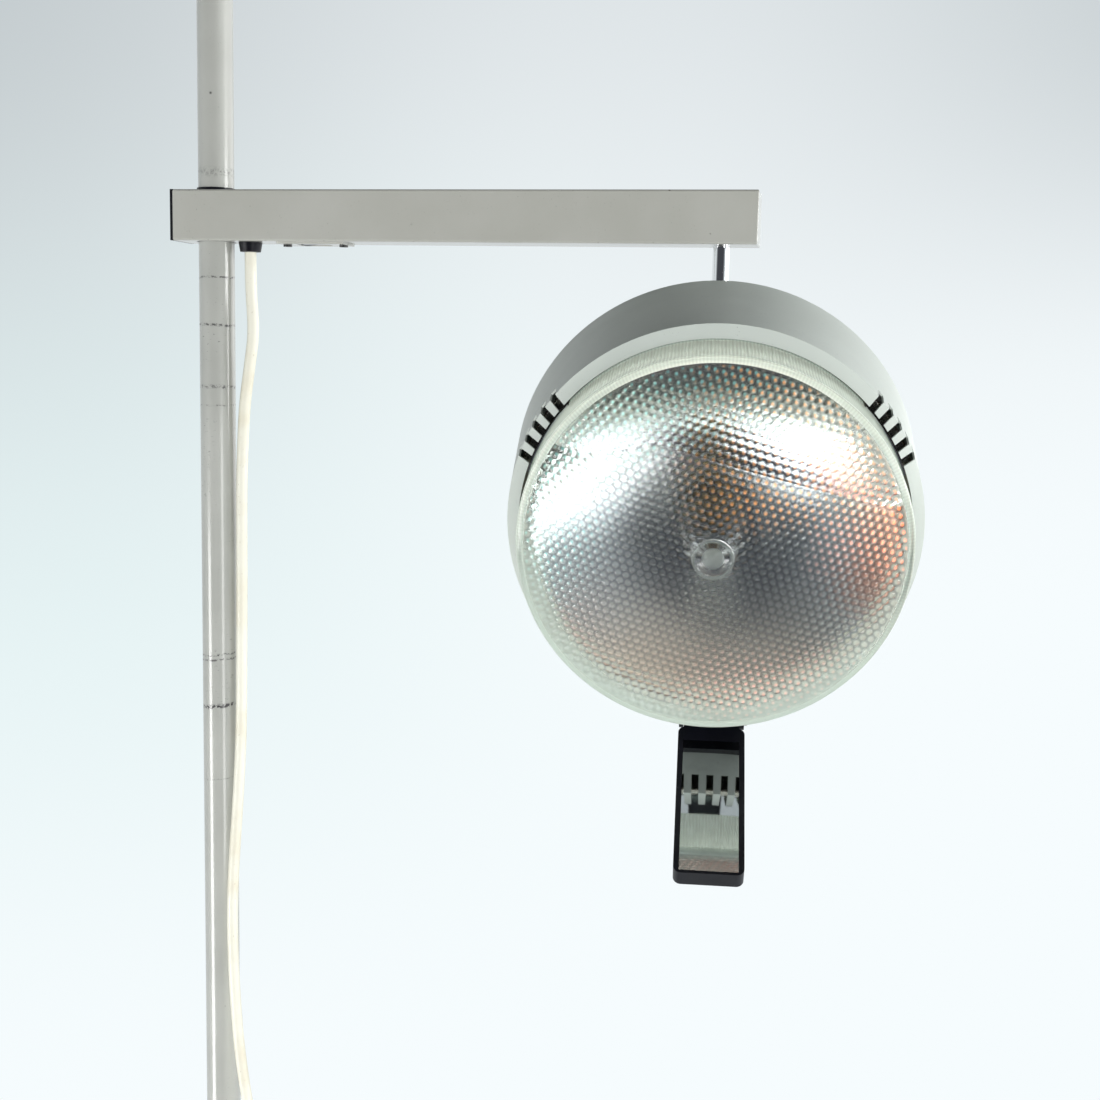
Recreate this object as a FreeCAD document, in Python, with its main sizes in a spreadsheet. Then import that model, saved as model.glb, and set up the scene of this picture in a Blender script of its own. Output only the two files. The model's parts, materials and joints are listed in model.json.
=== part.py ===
import FreeCAD, Part
import math
import os
import Sketcher

# A medical floor lamp: a heavy round base carries a pole, a box-section arm slides and swivels on the pole,
# and a round lamp head with a ribbed lens and a small mirror hangs from a stem under the arm's far end.
# The origin is on the floor under the pole, +X runs along the arm, the lens faces -Y and +Z is up.

os.makedirs("parts", exist_ok=True)
doc = FreeCAD.newDocument("medical_floor_lamp")
sheet = doc.addObject("Spreadsheet::Sheet", "dims")

# Driving sizes in millimetres, angles in degrees.
SIZES = {
    # fits
    "shaft_fit": 0.06,
    "loose_fit": 0.2,
    "running_gap": 0.3,
    # base
    "pad_diameter": 356,
    "pad_thickness": 3,
    "base_diameter": 380,
    "base_edge": 10,
    "base_height": 24,
    "plateau_diameter": 124,
    "socket_flange_diameter": 104,
    "socket_flange_thickness": 6,
    "socket_diameter": 46,
    "socket_height": 66,
    "socket_screw_circle": 78,
    "socket_screw_diameter": 6,
    "socket_screw_length": 16,
    "socket_head_diameter": 10,
    "socket_head_height": 5,
    "lock_screw_diameter": 6,
    "lock_screw_height": 44,
    "lock_knob_diameter": 20,
    "lock_knob_length": 12,
    # pole
    "pole_diameter": 25,
    "pole_wall": 2,
    "pole_length": 1690,
    "pole_cap_thickness": 3,
    "pole_cap_depth": 12,
    # arm
    "arm_axis_height": 1400,
    "arm_side": 35,
    "arm_wall": 2,
    "arm_corner": 1.6,
    "arm_length": 403.5,
    "arm_tail": 25,
    "end_plug_flange": 2,
    "end_plug_depth": 7,
    "end_plate_thickness": 2,
    "end_plate_edge": 0.9,
    "sleeve_diameter": 27.6,
    "sleeve_lip_diameter": 26.8,
    "sleeve_lip_height": 2,
    "ring_diameter": 30,
    "ring_thickness": 2,
    # cord gland
    "gland_offset": 25.3,
    "gland_diameter": 16.6,
    "gland_tip_diameter": 14.4,
    "gland_height": 6.5,
    "gland_shank_diameter": 12,
    "gland_nut_diameter": 17,
    "gland_nut_thickness": 5,
    # switch
    "switch_offset": 73.5,
    "switch_plate_length": 48,
    "switch_plate_width": 26,
    "switch_plate_thickness": 1.5,
    "plate_screw_spacing": 41,
    "plate_screw_diameter": 3,
    "plate_screw_head": 6,
    "plate_screw_head_height": 1.2,
    "plate_screw_length": 6,
    "rocker_length": 19,
    "rocker_width": 12,
    "rocker_proud": -0.9,
    "rocker_throw": 8,
    "rocker_pin_diameter": 3,
    "rocker_pivot_height": 5,
    "rocker_swing_room": 2.2,
    "rocker_side_gap": 0.4,
    "switch_body_length": 34,
    "switch_body_width": 20,
    "switch_body_height": 20,
    # wiring in the arm
    "terminal_offset": 150,
    "terminal_length": 36,
    "terminal_width": 18,
    "terminal_height": 15,
    "terminal_hole": 4,
    "wiring_diameter": 4,
    # stem
    "stem_inset": 22.5,
    "stem_diameter": 11,
    "stem_wall": 1.5,
    "stem_drop": 50,
    "bush_diameter": 22,
    "bush_height": 12,
    "stem_washer_thickness": 1,
    "collar_diameter": 20,
    "collar_height": 8,
    "stem_over_collar": 0.8,
    "knuckle_diameter": 16,
    "knuckle_eye": 18,
    "knuckle_height": 14,
    "tongue_thickness": 8,
    # hinge of the head
    "hinge_bolt_diameter": 6,
    "hinge_head_width": 10,
    "hinge_head_height": 4,
    "hinge_nut_height": 5,
    "friction_washer_thickness": 1,
    "friction_washer_diameter": 16,
    "lug_thickness": 4,
    "bracket_width": 38,
    "bracket_below": 20,
    "bracket_above": 15,
    "bracket_thickness": 3,
    "bracket_screw_diameter": 4,
    "bracket_screw_head": 7,
    "bracket_screw_head_height": 2.4,
    "bracket_screw_length": 7,
    "bracket_screw_edge": 5,
    "pivot_inset": 30.9,
    "pivot_standoff": 12,
    "head_tilt": 13.4,
    "head_yaw": 5.2,
    # head
    "drum_radius": 128.8,
    "drum_flare": 6.8,
    "drum_depth": 102.2,
    "drum_wall": 1.2,
    "drum_back_radius": 2.5,
    "bevel_depth": 6.3,
    "bevel_wall": 1.6,
    "lens_radius": 118.7,
    "lens_wall": 3,
    "lens_rim_gap": 2.4,
    "lens_front": 141.6,
    "lens_rise": 14,
    "lens_flange_width": 6.5,
    "lens_flange_thickness": 2,
    "lens_flange_back": 99.5,
    "boss_diameter": 25,
    "boss_wall": 2.2,
    "boss_proud": 1.4,
    "vent_width": 5,
    "vent_length": 13.2,
    "vent_pitch": 10.2,
    "band_length": 49,
    "band_thickness": 0.8,
    "band_clear": 0.9,
    "band_height": 13.5,
    "reflector_radius": 115,
    "reflector_depth": 58,
    "reflector_wall": 1,
    "reflector_flange_width": 11.5,
    "clip_width": 14,
    "clip_depth": 7.5,
    "clip_length": 10,
    "holder_diameter": 38,
    "holder_length": 42,
    "holder_bore_depth": 16,
    "bulb_cap_diameter": 26.4,
    "bulb_cap_length": 26,
    "bulb_diameter": 56,
    "bulb_wall": 1,
    "bulb_neck_length": 26,
    "bulb_shoulder_diameter": 45,
    "bulb_centre": 42,
    # mirror
    "mirror_offset": 4.8,
    "mirror_pin_drop": 31.3,
    "mirror_pin_position": 48,
    "mirror_pin_diameter": 5,
    "mirror_pin_head": 8,
    "mirror_pin_head_thickness": 2,
    "saddle_depth": 15,
    "saddle_length": 40,
    "saddle_back": 14,
    "saddle_sink": 9,
    "mirror_lug_thickness": 3,
    "mirror_lug_diameter": 14,
    "mirror_tongue_width": 38,
    "mirror_tongue_diameter": 13.5,
    "mirror_start": 13.1,
    "mirror_end": 129,
    "mirror_frame_width": 45,
    "mirror_frame_thickness": 13.5,
    "mirror_frame_corner": 5,
    "mirror_border": 3.5,
    "mirror_top_border": 11.2,
    "mirror_end_border": 2,
    "mirror_glass_thickness": 2,
    "mirror_angle": 38,
    # cord
    "cord_diameter": 8.2,
    "coil_radius": 60,
    "coil_pitch": 10,
    "coil_layer": 9.8,
    "coil_x": 310,
    "coil_y": 10,
    "tie_thickness": 0.8,
    "tie_width": 14,
    "tie_inner_slack": 1.6,
    "relief_length": 32,
    "relief_diameter": 11.6,
    "relief_tip_diameter": 9.2,
    "plug_length": 42,
    "plug_width": 38,
    "plug_shoulder": 12,
    "plug_neck": 20,
    "plug_corner": 3,
    "plug_pin_diameter": 4.8,
    "plug_pin_length": 19,
    "plug_pin_spacing": 19,
}
for row, (name, value) in enumerate(SIZES.items(), start=1):
    sheet.set("A%d" % row, name)
    sheet.set("B%d" % row, str(value))
    sheet.setAlias("B%d" % row, name)
doc.recompute()


class Size:
    """A size with its value and the sheet expression that gives it."""

    def __init__(self, value, text):
        self.value = value
        self.text = text

    def __add__(self, other):
        other = as_size(other)
        return Size(self.value + other.value, "(%s + %s)" % (self.text, other.text))

    def __sub__(self, other):
        other = as_size(other)
        return Size(self.value - other.value, "(%s - %s)" % (self.text, other.text))

    def __mul__(self, other):
        other = as_size(other)
        return Size(self.value * other.value, "(%s * %s)" % (self.text, other.text))

    def __truediv__(self, other):
        other = as_size(other)
        return Size(self.value / other.value, "(%s / %s)" % (self.text, other.text))


class Sheet:
    """Gives each cell of the sheet by its alias."""

    def __getattr__(self, alias):
        return Size(float(sheet.get(alias)), "dims." + alias)


def as_size(value):
    if isinstance(value, Size):
        return value
    return Size(float(value), repr(float(value)))


def number(value):
    return as_size(value).value


def vector(x, y, z):
    return FreeCAD.Vector(number(x), number(y), number(z))


def bind(obj, **sizes):
    for prop, value in sizes.items():
        size = as_size(value)
        setattr(obj, prop, size.value)
        if "dims." in size.text:
            obj.setExpression(prop, size.text)


d = Sheet()
parts = []
NO_TURN = FreeCAD.Rotation()
ALONG_X = FreeCAD.Rotation(FreeCAD.Vector(0, 1, 0), 90)
ALONG_Y = FreeCAD.Rotation(FreeCAD.Vector(1, 0, 0), -90)


def finished(label, obj, placement=None):
    """Names a finished piece and puts it in its place."""
    obj.Label = label
    if placement is not None:
        obj.Placement = placement
    parts.append(obj)
    return obj


def box(name, length, width, height, x=0, y=0, z=0):
    obj = doc.addObject("Part::Box", name)
    bind(obj, Length=length, Width=width, Height=height)
    obj.Placement.Base = vector(x, y, z)
    return obj


def centred_box(name, length, width, height, x=0, y=0, z=0):
    """A box centred on x and y, standing on z."""
    return box(name, length, width, height, as_size(x) - length / 2, as_size(y) - width / 2, z)


def rod(name, radius, length, x=0, y=0, z=0, turn=NO_TURN):
    obj = doc.addObject("Part::Cylinder", name)
    bind(obj, Radius=radius, Height=length)
    obj.Placement = FreeCAD.Placement(vector(x, y, z), turn)
    return obj


def ball(name, radius, z):
    obj = doc.addObject("Part::Sphere", name)
    bind(obj, Radius=radius)
    obj.Placement.Base = vector(0, 0, z)
    return obj


def cone(name, radius, top_radius, length, x=0, y=0, z=0, turn=NO_TURN):
    obj = doc.addObject("Part::Cone", name)
    bind(obj, Radius1=radius, Radius2=top_radius, Height=length)
    obj.Placement = FreeCAD.Placement(vector(x, y, z), turn)
    return obj


def hexagon(name, across_flats, length, x=0, y=0, z=0, turn=NO_TURN):
    obj = doc.addObject("Part::Prism", name)
    obj.Polygon = 6
    bind(obj, Circumradius=across_flats / math.sqrt(3), Height=length)
    obj.Placement = FreeCAD.Placement(vector(x, y, z), turn)
    return obj


def fuse(name, *shapes):
    obj = doc.addObject("Part::MultiFuse", name)
    obj.Shapes = list(shapes)
    obj.Refine = True
    return obj


def cut(name, base, *tools):
    obj = doc.addObject("Part::Cut", name)
    obj.Base = base
    obj.Tool = tools[0] if len(tools) == 1 else fuse(name + "_tools", *tools)
    return obj


def common(name, base, tool):
    obj = doc.addObject("Part::Common", name)
    obj.Base = base
    obj.Tool = tool
    return obj


def group(name, solids):
    obj = doc.addObject("Part::Compound", name)
    obj.Links = solids
    return obj


def outline(body, name, plane_role, *loops):
    """A sketch of closed polygons whose corners are bound to the sheet."""
    sketch = body.newObject("Sketcher::SketchObject", name)
    plane = [item for item in body.Origin.OriginFeatures if item.Role == plane_role][0]
    sketch.AttachmentSupport = [(plane, "")]
    sketch.MapMode = "FlatFace"
    for loop in loops:
        corners = [(as_size(across), as_size(up)) for across, up in loop]
        first = sketch.GeometryCount
        count = len(corners)
        for index in range(count):
            here = corners[index]
            there = corners[(index + 1) % count]
            line = Part.LineSegment(vector(here[0], here[1], 0), vector(there[0], there[1], 0))
            sketch.addGeometry(line, False)
        for index in range(count):
            follower = first + (index + 1) % count
            sketch.addConstraint(Sketcher.Constraint("Coincident", first + index, 2, follower, 1))
        for index, corner in enumerate(corners):
            for kind, size in zip(("DistanceX", "DistanceY"), corner):
                rule = Sketcher.Constraint(kind, -1, 1, first + index, 1, size.value)
                place = sketch.addConstraint(rule)
                if "dims." in size.text:
                    sketch.setExpression("Constraints[%d]" % place, size.text)
    return sketch


def turned(name, profile):
    """A body turned about its Z axis from a closed profile of (radius, height) corners."""
    body = doc.addObject("PartDesign::Body", name)
    sketch = outline(body, name + "_profile", "XZ_Plane", profile)
    feature = body.newObject("PartDesign::Revolution", name + "_turn")
    feature.Profile = sketch
    feature.ReferenceAxis = (sketch, ["V_Axis"])
    feature.Angle = 360
    return body


def extruded(name, plane_role, length, *loops):
    """A body padded from closed polygons drawn on one of its origin planes."""
    body = doc.addObject("PartDesign::Body", name)
    sketch = outline(body, name + "_outline", plane_role, *loops)
    feature = body.newObject("PartDesign::Pad", name + "_pad")
    feature.Profile = sketch
    bind(feature, Length=length)
    return body


def rounded(body, name, radius, chosen):
    """Rounds the edges of a body's last feature that the test picks."""
    doc.recompute()
    feature = body.Tip
    names = []
    for index, edge in enumerate(feature.Shape.Edges, start=1):
        if chosen(edge):
            names.append("Edge%d" % index)
    fillet = body.newObject("PartDesign::Fillet", name)
    fillet.Base = (feature, names)
    bind(fillet, Radius=radius)
    return body


def rectangle(left, bottom, right, top):
    return [(left, bottom), (right, bottom), (right, top), (left, top)]


def around(radius, angle):
    """The x and y of a point at an angle on a circle."""
    turn = math.radians(angle)
    return number(radius) * math.cos(turn), number(radius) * math.sin(turn)


# Base: rubber pad, iron disc, pole socket with its screws and the locking screw.
base_top = d.pad_thickness + d.base_height
finished("base_pad", turned("base_pad_body", rectangle(0, 0, d.pad_diameter / 2, d.pad_thickness)))

disc = turned(
    "base_disc_body",
    [
        (0, d.pad_thickness),
        (d.base_diameter / 2, d.pad_thickness),
        (d.base_diameter / 2, d.pad_thickness + d.base_edge),
        (d.plateau_diameter / 2, base_top),
        (0, base_top),
    ],
)
socket = turned(
    "pole_socket_body",
    [
        (d.pole_diameter / 2 + d.shaft_fit, base_top),
        (d.socket_flange_diameter / 2, base_top),
        (d.socket_flange_diameter / 2, base_top + d.socket_flange_thickness),
        (d.socket_diameter / 2, base_top + d.socket_flange_thickness),
        (d.socket_diameter / 2, base_top + d.socket_height),
        (d.pole_diameter / 2 + d.shaft_fit, base_top + d.socket_height),
    ],
)
screws = []
disc_holes = []
socket_holes = []
for index in range(4):
    screw_x, screw_y = around(d.socket_screw_circle / 2, 45 + 90 * index)
    seat = base_top + d.socket_flange_thickness
    shank = rod(
        "socket_shank_%d" % index,
        d.socket_screw_diameter / 2,
        d.socket_screw_length,
        screw_x,
        screw_y,
        seat - d.socket_screw_length,
    )
    head = hexagon(
        "socket_head_%d" % index, d.socket_head_diameter, d.socket_head_height, screw_x, screw_y, seat
    )
    screws.append(fuse("socket_screw_%d" % index, shank, head))
    for holes, label in ((disc_holes, "disc"), (socket_holes, "flange")):
        holes.append(
            rod(
                "%s_hole_%d" % (label, index),
                d.socket_screw_diameter / 2 + d.loose_fit,
                d.socket_screw_length + d.loose_fit,
                screw_x,
                screw_y,
                seat - d.socket_screw_length - d.loose_fit,
            )
        )
lock_height = base_top + d.lock_screw_height
socket_holes.append(
    rod(
        "lock_screw_hole",
        d.lock_screw_diameter / 2 + d.shaft_fit,
        d.socket_diameter / 2,
        0,
        0,
        lock_height,
        ALONG_Y,
    )
)
finished("base_disc", cut("base_disc_cut", disc, *disc_holes))
finished("pole_socket", cut("pole_socket_cut", socket, *socket_holes))
finished("socket_screws", group("socket_screw_set", screws))

lock_start = d.pole_diameter / 2 + d.loose_fit
lock_shank = rod(
    "lock_shank",
    d.lock_screw_diameter / 2,
    d.socket_diameter / 2 - d.pole_diameter / 2 + d.loose_fit,
    0,
    lock_start,
    lock_height,
    ALONG_Y,
)
lock_knob = hexagon(
    "lock_knob",
    d.lock_knob_diameter,
    d.lock_knob_length,
    0,
    d.socket_diameter / 2 + d.loose_fit,
    lock_height,
    ALONG_Y,
)
finished("pole_lock_screw", fuse("lock_screw", lock_shank, lock_knob))

# Pole and its cap.
pole_bore = d.pole_diameter / 2 - d.pole_wall
finished(
    "pole",
    turned(
        "pole_body",
        rectangle(pole_bore, base_top, d.pole_diameter / 2, base_top + d.pole_length),
    ),
)
pole_top = base_top + d.pole_length
finished(
    "pole_cap",
    turned(
        "pole_cap_body",
        [
            (0, pole_top - d.pole_cap_depth),
            (pole_bore - d.shaft_fit, pole_top - d.pole_cap_depth),
            (pole_bore - d.shaft_fit, pole_top),
            (d.pole_diameter / 2, pole_top),
            (d.pole_diameter / 2, pole_top + d.pole_cap_thickness),
            (0, pole_top + d.pole_cap_thickness),
        ],
    ),
)

# Sleeve between pole and arm, and the two rings that hold it inside the arm.
stem_x = d.arm_length - d.arm_tail - d.stem_inset
arm_bottom = d.arm_axis_height - d.arm_side / 2
arm_top = d.arm_axis_height + d.arm_side / 2
arm_floor = arm_bottom + d.arm_wall
sleeve_bore = d.pole_diameter / 2 + d.shaft_fit
sleeve_radius = d.sleeve_diameter / 2
finished(
    "slide_sleeve",
    turned(
        "slide_sleeve_body",
        [
            (sleeve_bore, arm_bottom),
            (sleeve_radius, arm_bottom),
            (sleeve_radius, arm_top),
            (d.sleeve_lip_diameter / 2, arm_top),
            (d.sleeve_lip_diameter / 2, arm_top + d.sleeve_lip_height),
            (sleeve_bore, arm_top + d.sleeve_lip_height),
        ],
    ),
)
sleeve_rings = []
ring_inner = sleeve_radius + d.shaft_fit
for label, low in (
    ("lower", arm_floor + d.running_gap),
    ("upper", arm_top - d.arm_wall - d.running_gap - d.ring_thickness),
):
    ring_section = rectangle(ring_inner, low, d.ring_diameter / 2, low + d.ring_thickness)
    sleeve_rings.append(turned("sleeve_ring_" + label, ring_section))
finished("sleeve_rings", group("sleeve_ring_set", sleeve_rings))

# Arm: box tube with holes for the sleeve, the gland, the switch and the stem.
tube = extruded(
    "arm_tube_body",
    "YZ_Plane",
    d.arm_length,
    rectangle(0, 0, d.arm_side, d.arm_side),
    rectangle(d.arm_wall, d.arm_wall, d.arm_side - d.arm_wall, d.arm_side - d.arm_wall),
)
arm_side = number(d.arm_side)


def arm_outer_edge(edge):
    corner = edge.CenterOfMass
    lengthwise = abs(edge.tangentAt(edge.FirstParameter).x) > 0.99
    return lengthwise and {round(corner.y, 3), round(corner.z, 3)} <= {0.0, round(arm_side, 3)}


rounded(tube, "arm_tube_corners", d.arm_corner, arm_outer_edge)
tube.Placement.Base = FreeCAD.Vector(-number(d.arm_tail), -arm_side / 2, number(arm_bottom))
rocker_window = d.rocker_length + d.rocker_swing_room * 2
window_length = rocker_window + d.running_gap * 8
window_width = d.rocker_width + d.rocker_side_gap * 10
sleeve_way_radius = sleeve_radius + d.shaft_fit
gland_way_radius = d.gland_shank_diameter / 2 + d.loose_fit
stem_way_radius = d.stem_diameter / 2 + d.running_gap
floor_cut = d.arm_wall * 2
floor_cut_low = arm_bottom - d.arm_wall / 2
arm_holes = [
    rod("sleeve_way", sleeve_way_radius, d.arm_side * 2, 0, 0, arm_bottom - d.arm_side / 2),
    rod("gland_way", gland_way_radius, floor_cut, d.gland_offset, 0, floor_cut_low),
    centred_box("switch_way", window_length, window_width, floor_cut, d.switch_offset, 0, floor_cut_low),
    rod("stem_way", stem_way_radius, floor_cut, stem_x, 0, floor_cut_low),
]
plate_screws = []
plate_holes = []
for index, side in enumerate((-1, 1)):
    screw_x = d.switch_offset + d.plate_screw_spacing / 2 * side
    seat = arm_bottom - d.switch_plate_thickness
    for holes, label in ((arm_holes, "arm"), (plate_holes, "plate")):
        holes.append(
            rod(
                "%s_screw_hole_%d" % (label, index),
                d.plate_screw_diameter / 2 + d.loose_fit,
                d.arm_wall * 3,
                screw_x,
                0,
                seat - d.arm_wall / 2,
            )
        )
    shank = rod(
        "plate_shank_%d" % index, d.plate_screw_diameter / 2, d.plate_screw_length, screw_x, 0, seat
    )
    head = rod(
        "plate_head_%d" % index,
        d.plate_screw_head / 2,
        d.plate_screw_head_height,
        screw_x,
        0,
        seat - d.plate_screw_head_height,
    )
    plate_screws.append(fuse("plate_screw_%d" % index, shank, head))
finished("arm_tube", cut("arm_tube_cut", tube, *arm_holes))
finished("plate_screws", group("plate_screw_set", plate_screws))

plug_block = d.arm_side - d.arm_wall * 2 - d.loose_fit * 2
plug_flange = centred_box(
    "end_plug_flange_box",
    d.end_plug_flange,
    d.arm_side,
    d.arm_side,
    d.end_plug_flange / -2 - d.arm_tail,
    0,
    arm_bottom,
)
plug_core = centred_box(
    "end_plug_core",
    d.end_plug_depth,
    plug_block,
    plug_block,
    d.end_plug_depth / 2 - d.arm_tail,
    0,
    arm_floor + d.loose_fit,
)
finished("arm_end_plug", fuse("arm_end_plug_fuse", plug_flange, plug_core))
end_plate = extruded(
    "arm_end_plate_body", "YZ_Plane", d.end_plate_thickness, rectangle(0, 0, d.arm_side, d.arm_side)
)


def end_plate_rim(edge):
    return edge.CenterOfMass.x > number(d.end_plate_thickness) - 0.01


rounded(end_plate, "arm_end_plate_corners", d.arm_corner, arm_outer_edge)
rounded(end_plate, "arm_end_plate_rim", d.end_plate_edge, end_plate_rim)
finished(
    "arm_end_plate",
    end_plate,
    FreeCAD.Placement(vector(d.arm_length - d.arm_tail, d.arm_side / -2, arm_bottom), NO_TURN),
)

# Cord gland below the arm and its nut inside.
gland_cone = cone(
    "gland_cone",
    d.gland_tip_diameter / 2,
    d.gland_diameter / 2,
    d.gland_height,
    d.gland_offset,
    0,
    arm_bottom - d.gland_height,
)
gland_shank = rod(
    "gland_shank",
    d.gland_shank_diameter / 2,
    d.arm_wall + d.gland_nut_thickness,
    d.gland_offset,
    0,
    arm_bottom,
)
finished("cord_gland", fuse("cord_gland_fuse", gland_cone, gland_shank))
nut_blank = rod(
    "gland_nut_blank",
    d.gland_nut_diameter / 2,
    d.gland_nut_thickness,
    d.gland_offset,
    0,
    arm_floor,
)
nut_bore = rod(
    "gland_nut_bore",
    d.gland_shank_diameter / 2 + d.shaft_fit,
    d.gland_nut_thickness * 2,
    d.gland_offset,
    0,
    arm_floor - d.gland_nut_thickness / 2,
)
finished("gland_nut", cut("gland_nut_cut", nut_blank, nut_bore))

# Switch: plate under the arm, body inside it and a rocker between.
plate_blank = centred_box(
    "switch_plate_blank",
    d.switch_plate_length,
    d.switch_plate_width,
    d.switch_plate_thickness,
    d.switch_offset,
    0,
    arm_bottom - d.switch_plate_thickness,
)
plate_window = centred_box(
    "switch_plate_window",
    rocker_window,
    d.rocker_width + d.rocker_side_gap * 2,
    d.switch_plate_thickness * 3,
    d.switch_offset,
    0,
    arm_bottom - d.switch_plate_thickness * 2,
)
finished("switch_plate", cut("switch_plate_cut", plate_blank, plate_window, *plate_holes))
pivot_level = arm_floor + d.rocker_pivot_height
body_blank = centred_box(
    "switch_body_blank",
    d.switch_body_length,
    d.switch_body_width,
    d.switch_body_height,
    d.switch_offset,
    0,
    arm_floor,
)
body_pin_way = rod(
    "switch_body_pin_way",
    d.rocker_pin_diameter / 2 + d.shaft_fit,
    d.switch_body_width * 2,
    d.switch_offset,
    d.switch_body_width / -1,
    pivot_level,
    ALONG_Y,
)
body_room = box(
    "switch_body_room",
    window_length,
    d.rocker_width + d.rocker_side_gap * 2,
    d.rocker_pivot_height * 2.2,
    d.switch_offset - window_length / 2,
    d.rocker_width / -2 - d.rocker_side_gap,
    arm_floor,
)
finished("switch_body", cut("switch_body_cut", body_blank, body_room, body_pin_way))
rocker_low = d.rocker_pivot_height + d.arm_wall + d.switch_plate_thickness + d.rocker_proud
rocker_block = centred_box(
    "rocker_block",
    d.rocker_length,
    d.rocker_width,
    rocker_low + d.rocker_pin_diameter,
    0,
    0,
    rocker_low / -1,
)
rocker_pin = rod(
    "rocker_pin",
    d.rocker_pin_diameter / 2,
    d.switch_body_width - d.loose_fit * 10,
    0,
    d.switch_body_width / -2 + d.loose_fit * 5,
    0,
    ALONG_Y,
)
finished(
    "switch_rocker",
    fuse("switch_rocker_fuse", rocker_block, rocker_pin),
    FreeCAD.Placement(
        vector(d.switch_offset, 0, pivot_level),
        FreeCAD.Rotation(FreeCAD.Vector(0, 1, 0), -number(d.rocker_throw)),
    ),
)

# Terminal block on the arm's inner floor.
terminal_blank = centred_box(
    "terminal_blank",
    d.terminal_length,
    d.terminal_width,
    d.terminal_height,
    d.terminal_offset,
    0,
    arm_floor,
)
terminal_holes = []
for column in range(3):
    for row in range(2):
        terminal_holes.append(
            rod(
                "terminal_hole_%d_%d" % (column, row),
                d.terminal_hole / 2,
                d.terminal_height,
                d.terminal_offset + d.terminal_length / 3.2 * (column - 1),
                d.terminal_width / 4 * (2 * row - 1),
                arm_floor + d.terminal_height / 2,
            )
        )
finished("terminal_block", cut("terminal_block_cut", terminal_blank, *terminal_holes))


def tangent_arc(first, corner, last):
    """An arc that leaves first towards corner and arrives at last from corner."""
    back = (first - corner).normalize()
    ahead = (last - corner).normalize()
    half_turn = (math.pi - back.getAngle(ahead)) / 2
    reach = first.distanceToPoint(corner)
    radius = reach / math.tan(half_turn)
    inward = (back + ahead).normalize()
    middle = corner + inward * (radius / math.cos(half_turn) - radius)
    return Part.Arc(first, middle, last), radius


def rounded_route(name, points):
    """Straight runs joined by arcs that are as large as their two runs allow."""
    edges = []
    radii = []
    start = points[0]
    for before, corner, after in zip(points, points[1:], points[2:]):
        reach = 0.45 * min(before.distanceToPoint(corner), after.distanceToPoint(corner))
        first = corner + (before - corner).normalize() * reach
        last = corner + (after - corner).normalize() * reach
        arc, radius = tangent_arc(first, corner, last)
        edges.append(Part.LineSegment(start, first).toShape())
        edges.append(arc.toShape())
        radii.append(radius)
        start = last
    edges.append(Part.LineSegment(start, points[-1]).toShape())
    print(name, "arc radii", [round(radius) for radius in radii])
    return Part.Wire(edges)


def swept_tube(name, route, start, direction, diameter):
    """A round tube along a route, compared with its section times its length."""
    circle = Part.Wire([Part.Circle(start, direction, diameter / 2).toShape()])
    solid = route.makePipeShell([circle], True, False)
    expected = math.pi * diameter**2 / 4 * route.Length
    print(name, "length", round(route.Length, 1), "volume share", round(solid.Volume / expected, 4))
    obj = doc.addObject("Part::Feature", name)
    obj.Shape = solid
    return obj


# Stem: bush on the arm's inner floor, washer, collar, chrome tube and hinge knuckle.
stem_radius = d.stem_diameter / 2
bush_blank = rod("bush_blank", d.bush_diameter / 2, d.bush_height, stem_x, 0, arm_floor)
bush_bore = rod(
    "bush_bore", stem_radius + d.shaft_fit, d.bush_height * 2, stem_x, 0, arm_floor - d.bush_height / 2
)
finished("stem_bush", cut("stem_bush_cut", bush_blank, bush_bore))
washer_low = arm_floor + d.bush_height + d.shaft_fit
collar_low = washer_low + d.stem_washer_thickness
stem_top = collar_low + d.collar_height + d.stem_over_collar
for label, diameter, low, height in (
    ("stem_washer", d.collar_diameter, washer_low, d.stem_washer_thickness),
    ("stem_collar", d.collar_diameter, collar_low, d.collar_height),
):
    ring_blank = rod(label + "_blank", diameter / 2, height, stem_x, 0, low)
    ring_bore = rod(label + "_bore", stem_radius + d.shaft_fit, height * 2, stem_x, 0, low - height / 2)
    finished(label, cut(label + "_cut", ring_blank, ring_bore))

pivot_height = arm_bottom - d.stem_drop
eye_radius = d.knuckle_eye / 2
knuckle_low = pivot_height + eye_radius + d.running_gap * 4
stem_low = knuckle_low + d.knuckle_height / 3
stem_outer = rod("stem_outer", stem_radius, stem_top - stem_low, stem_x, 0, stem_low)
stem_bore = rod("stem_bore", stem_radius - d.stem_wall, stem_top - stem_low + 2, stem_x, 0, stem_low - 1)
finished("stem", cut("stem_cut", stem_outer, stem_bore))
knuckle_barrel = rod("knuckle_barrel", d.knuckle_diameter / 2, d.knuckle_height, 0, 0, knuckle_low)
knuckle_tongue = centred_box(
    "knuckle_tongue",
    d.tongue_thickness,
    d.knuckle_diameter - d.running_gap * 2,
    knuckle_low - pivot_height + d.knuckle_height / 6,
    0,
    0,
    pivot_height,
)
knuckle_eye = rod(
    "knuckle_eye", eye_radius, d.tongue_thickness, d.tongue_thickness / -2, 0, pivot_height, ALONG_X
)
knuckle_socket = rod("knuckle_socket", stem_radius + d.shaft_fit, d.knuckle_height * 2, 0, 0, stem_low)
knuckle_bolt_way = rod(
    "knuckle_bolt_way",
    d.hinge_bolt_diameter / 2 + d.shaft_fit,
    d.tongue_thickness * 2,
    d.tongue_thickness / -1,
    0,
    pivot_height,
    ALONG_X,
)
knuckle_solid = fuse("knuckle_solid", knuckle_barrel, knuckle_tongue, knuckle_eye)
yaw_turn = FreeCAD.Rotation(FreeCAD.Vector(0, 0, 1), number(d.head_yaw))
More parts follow.
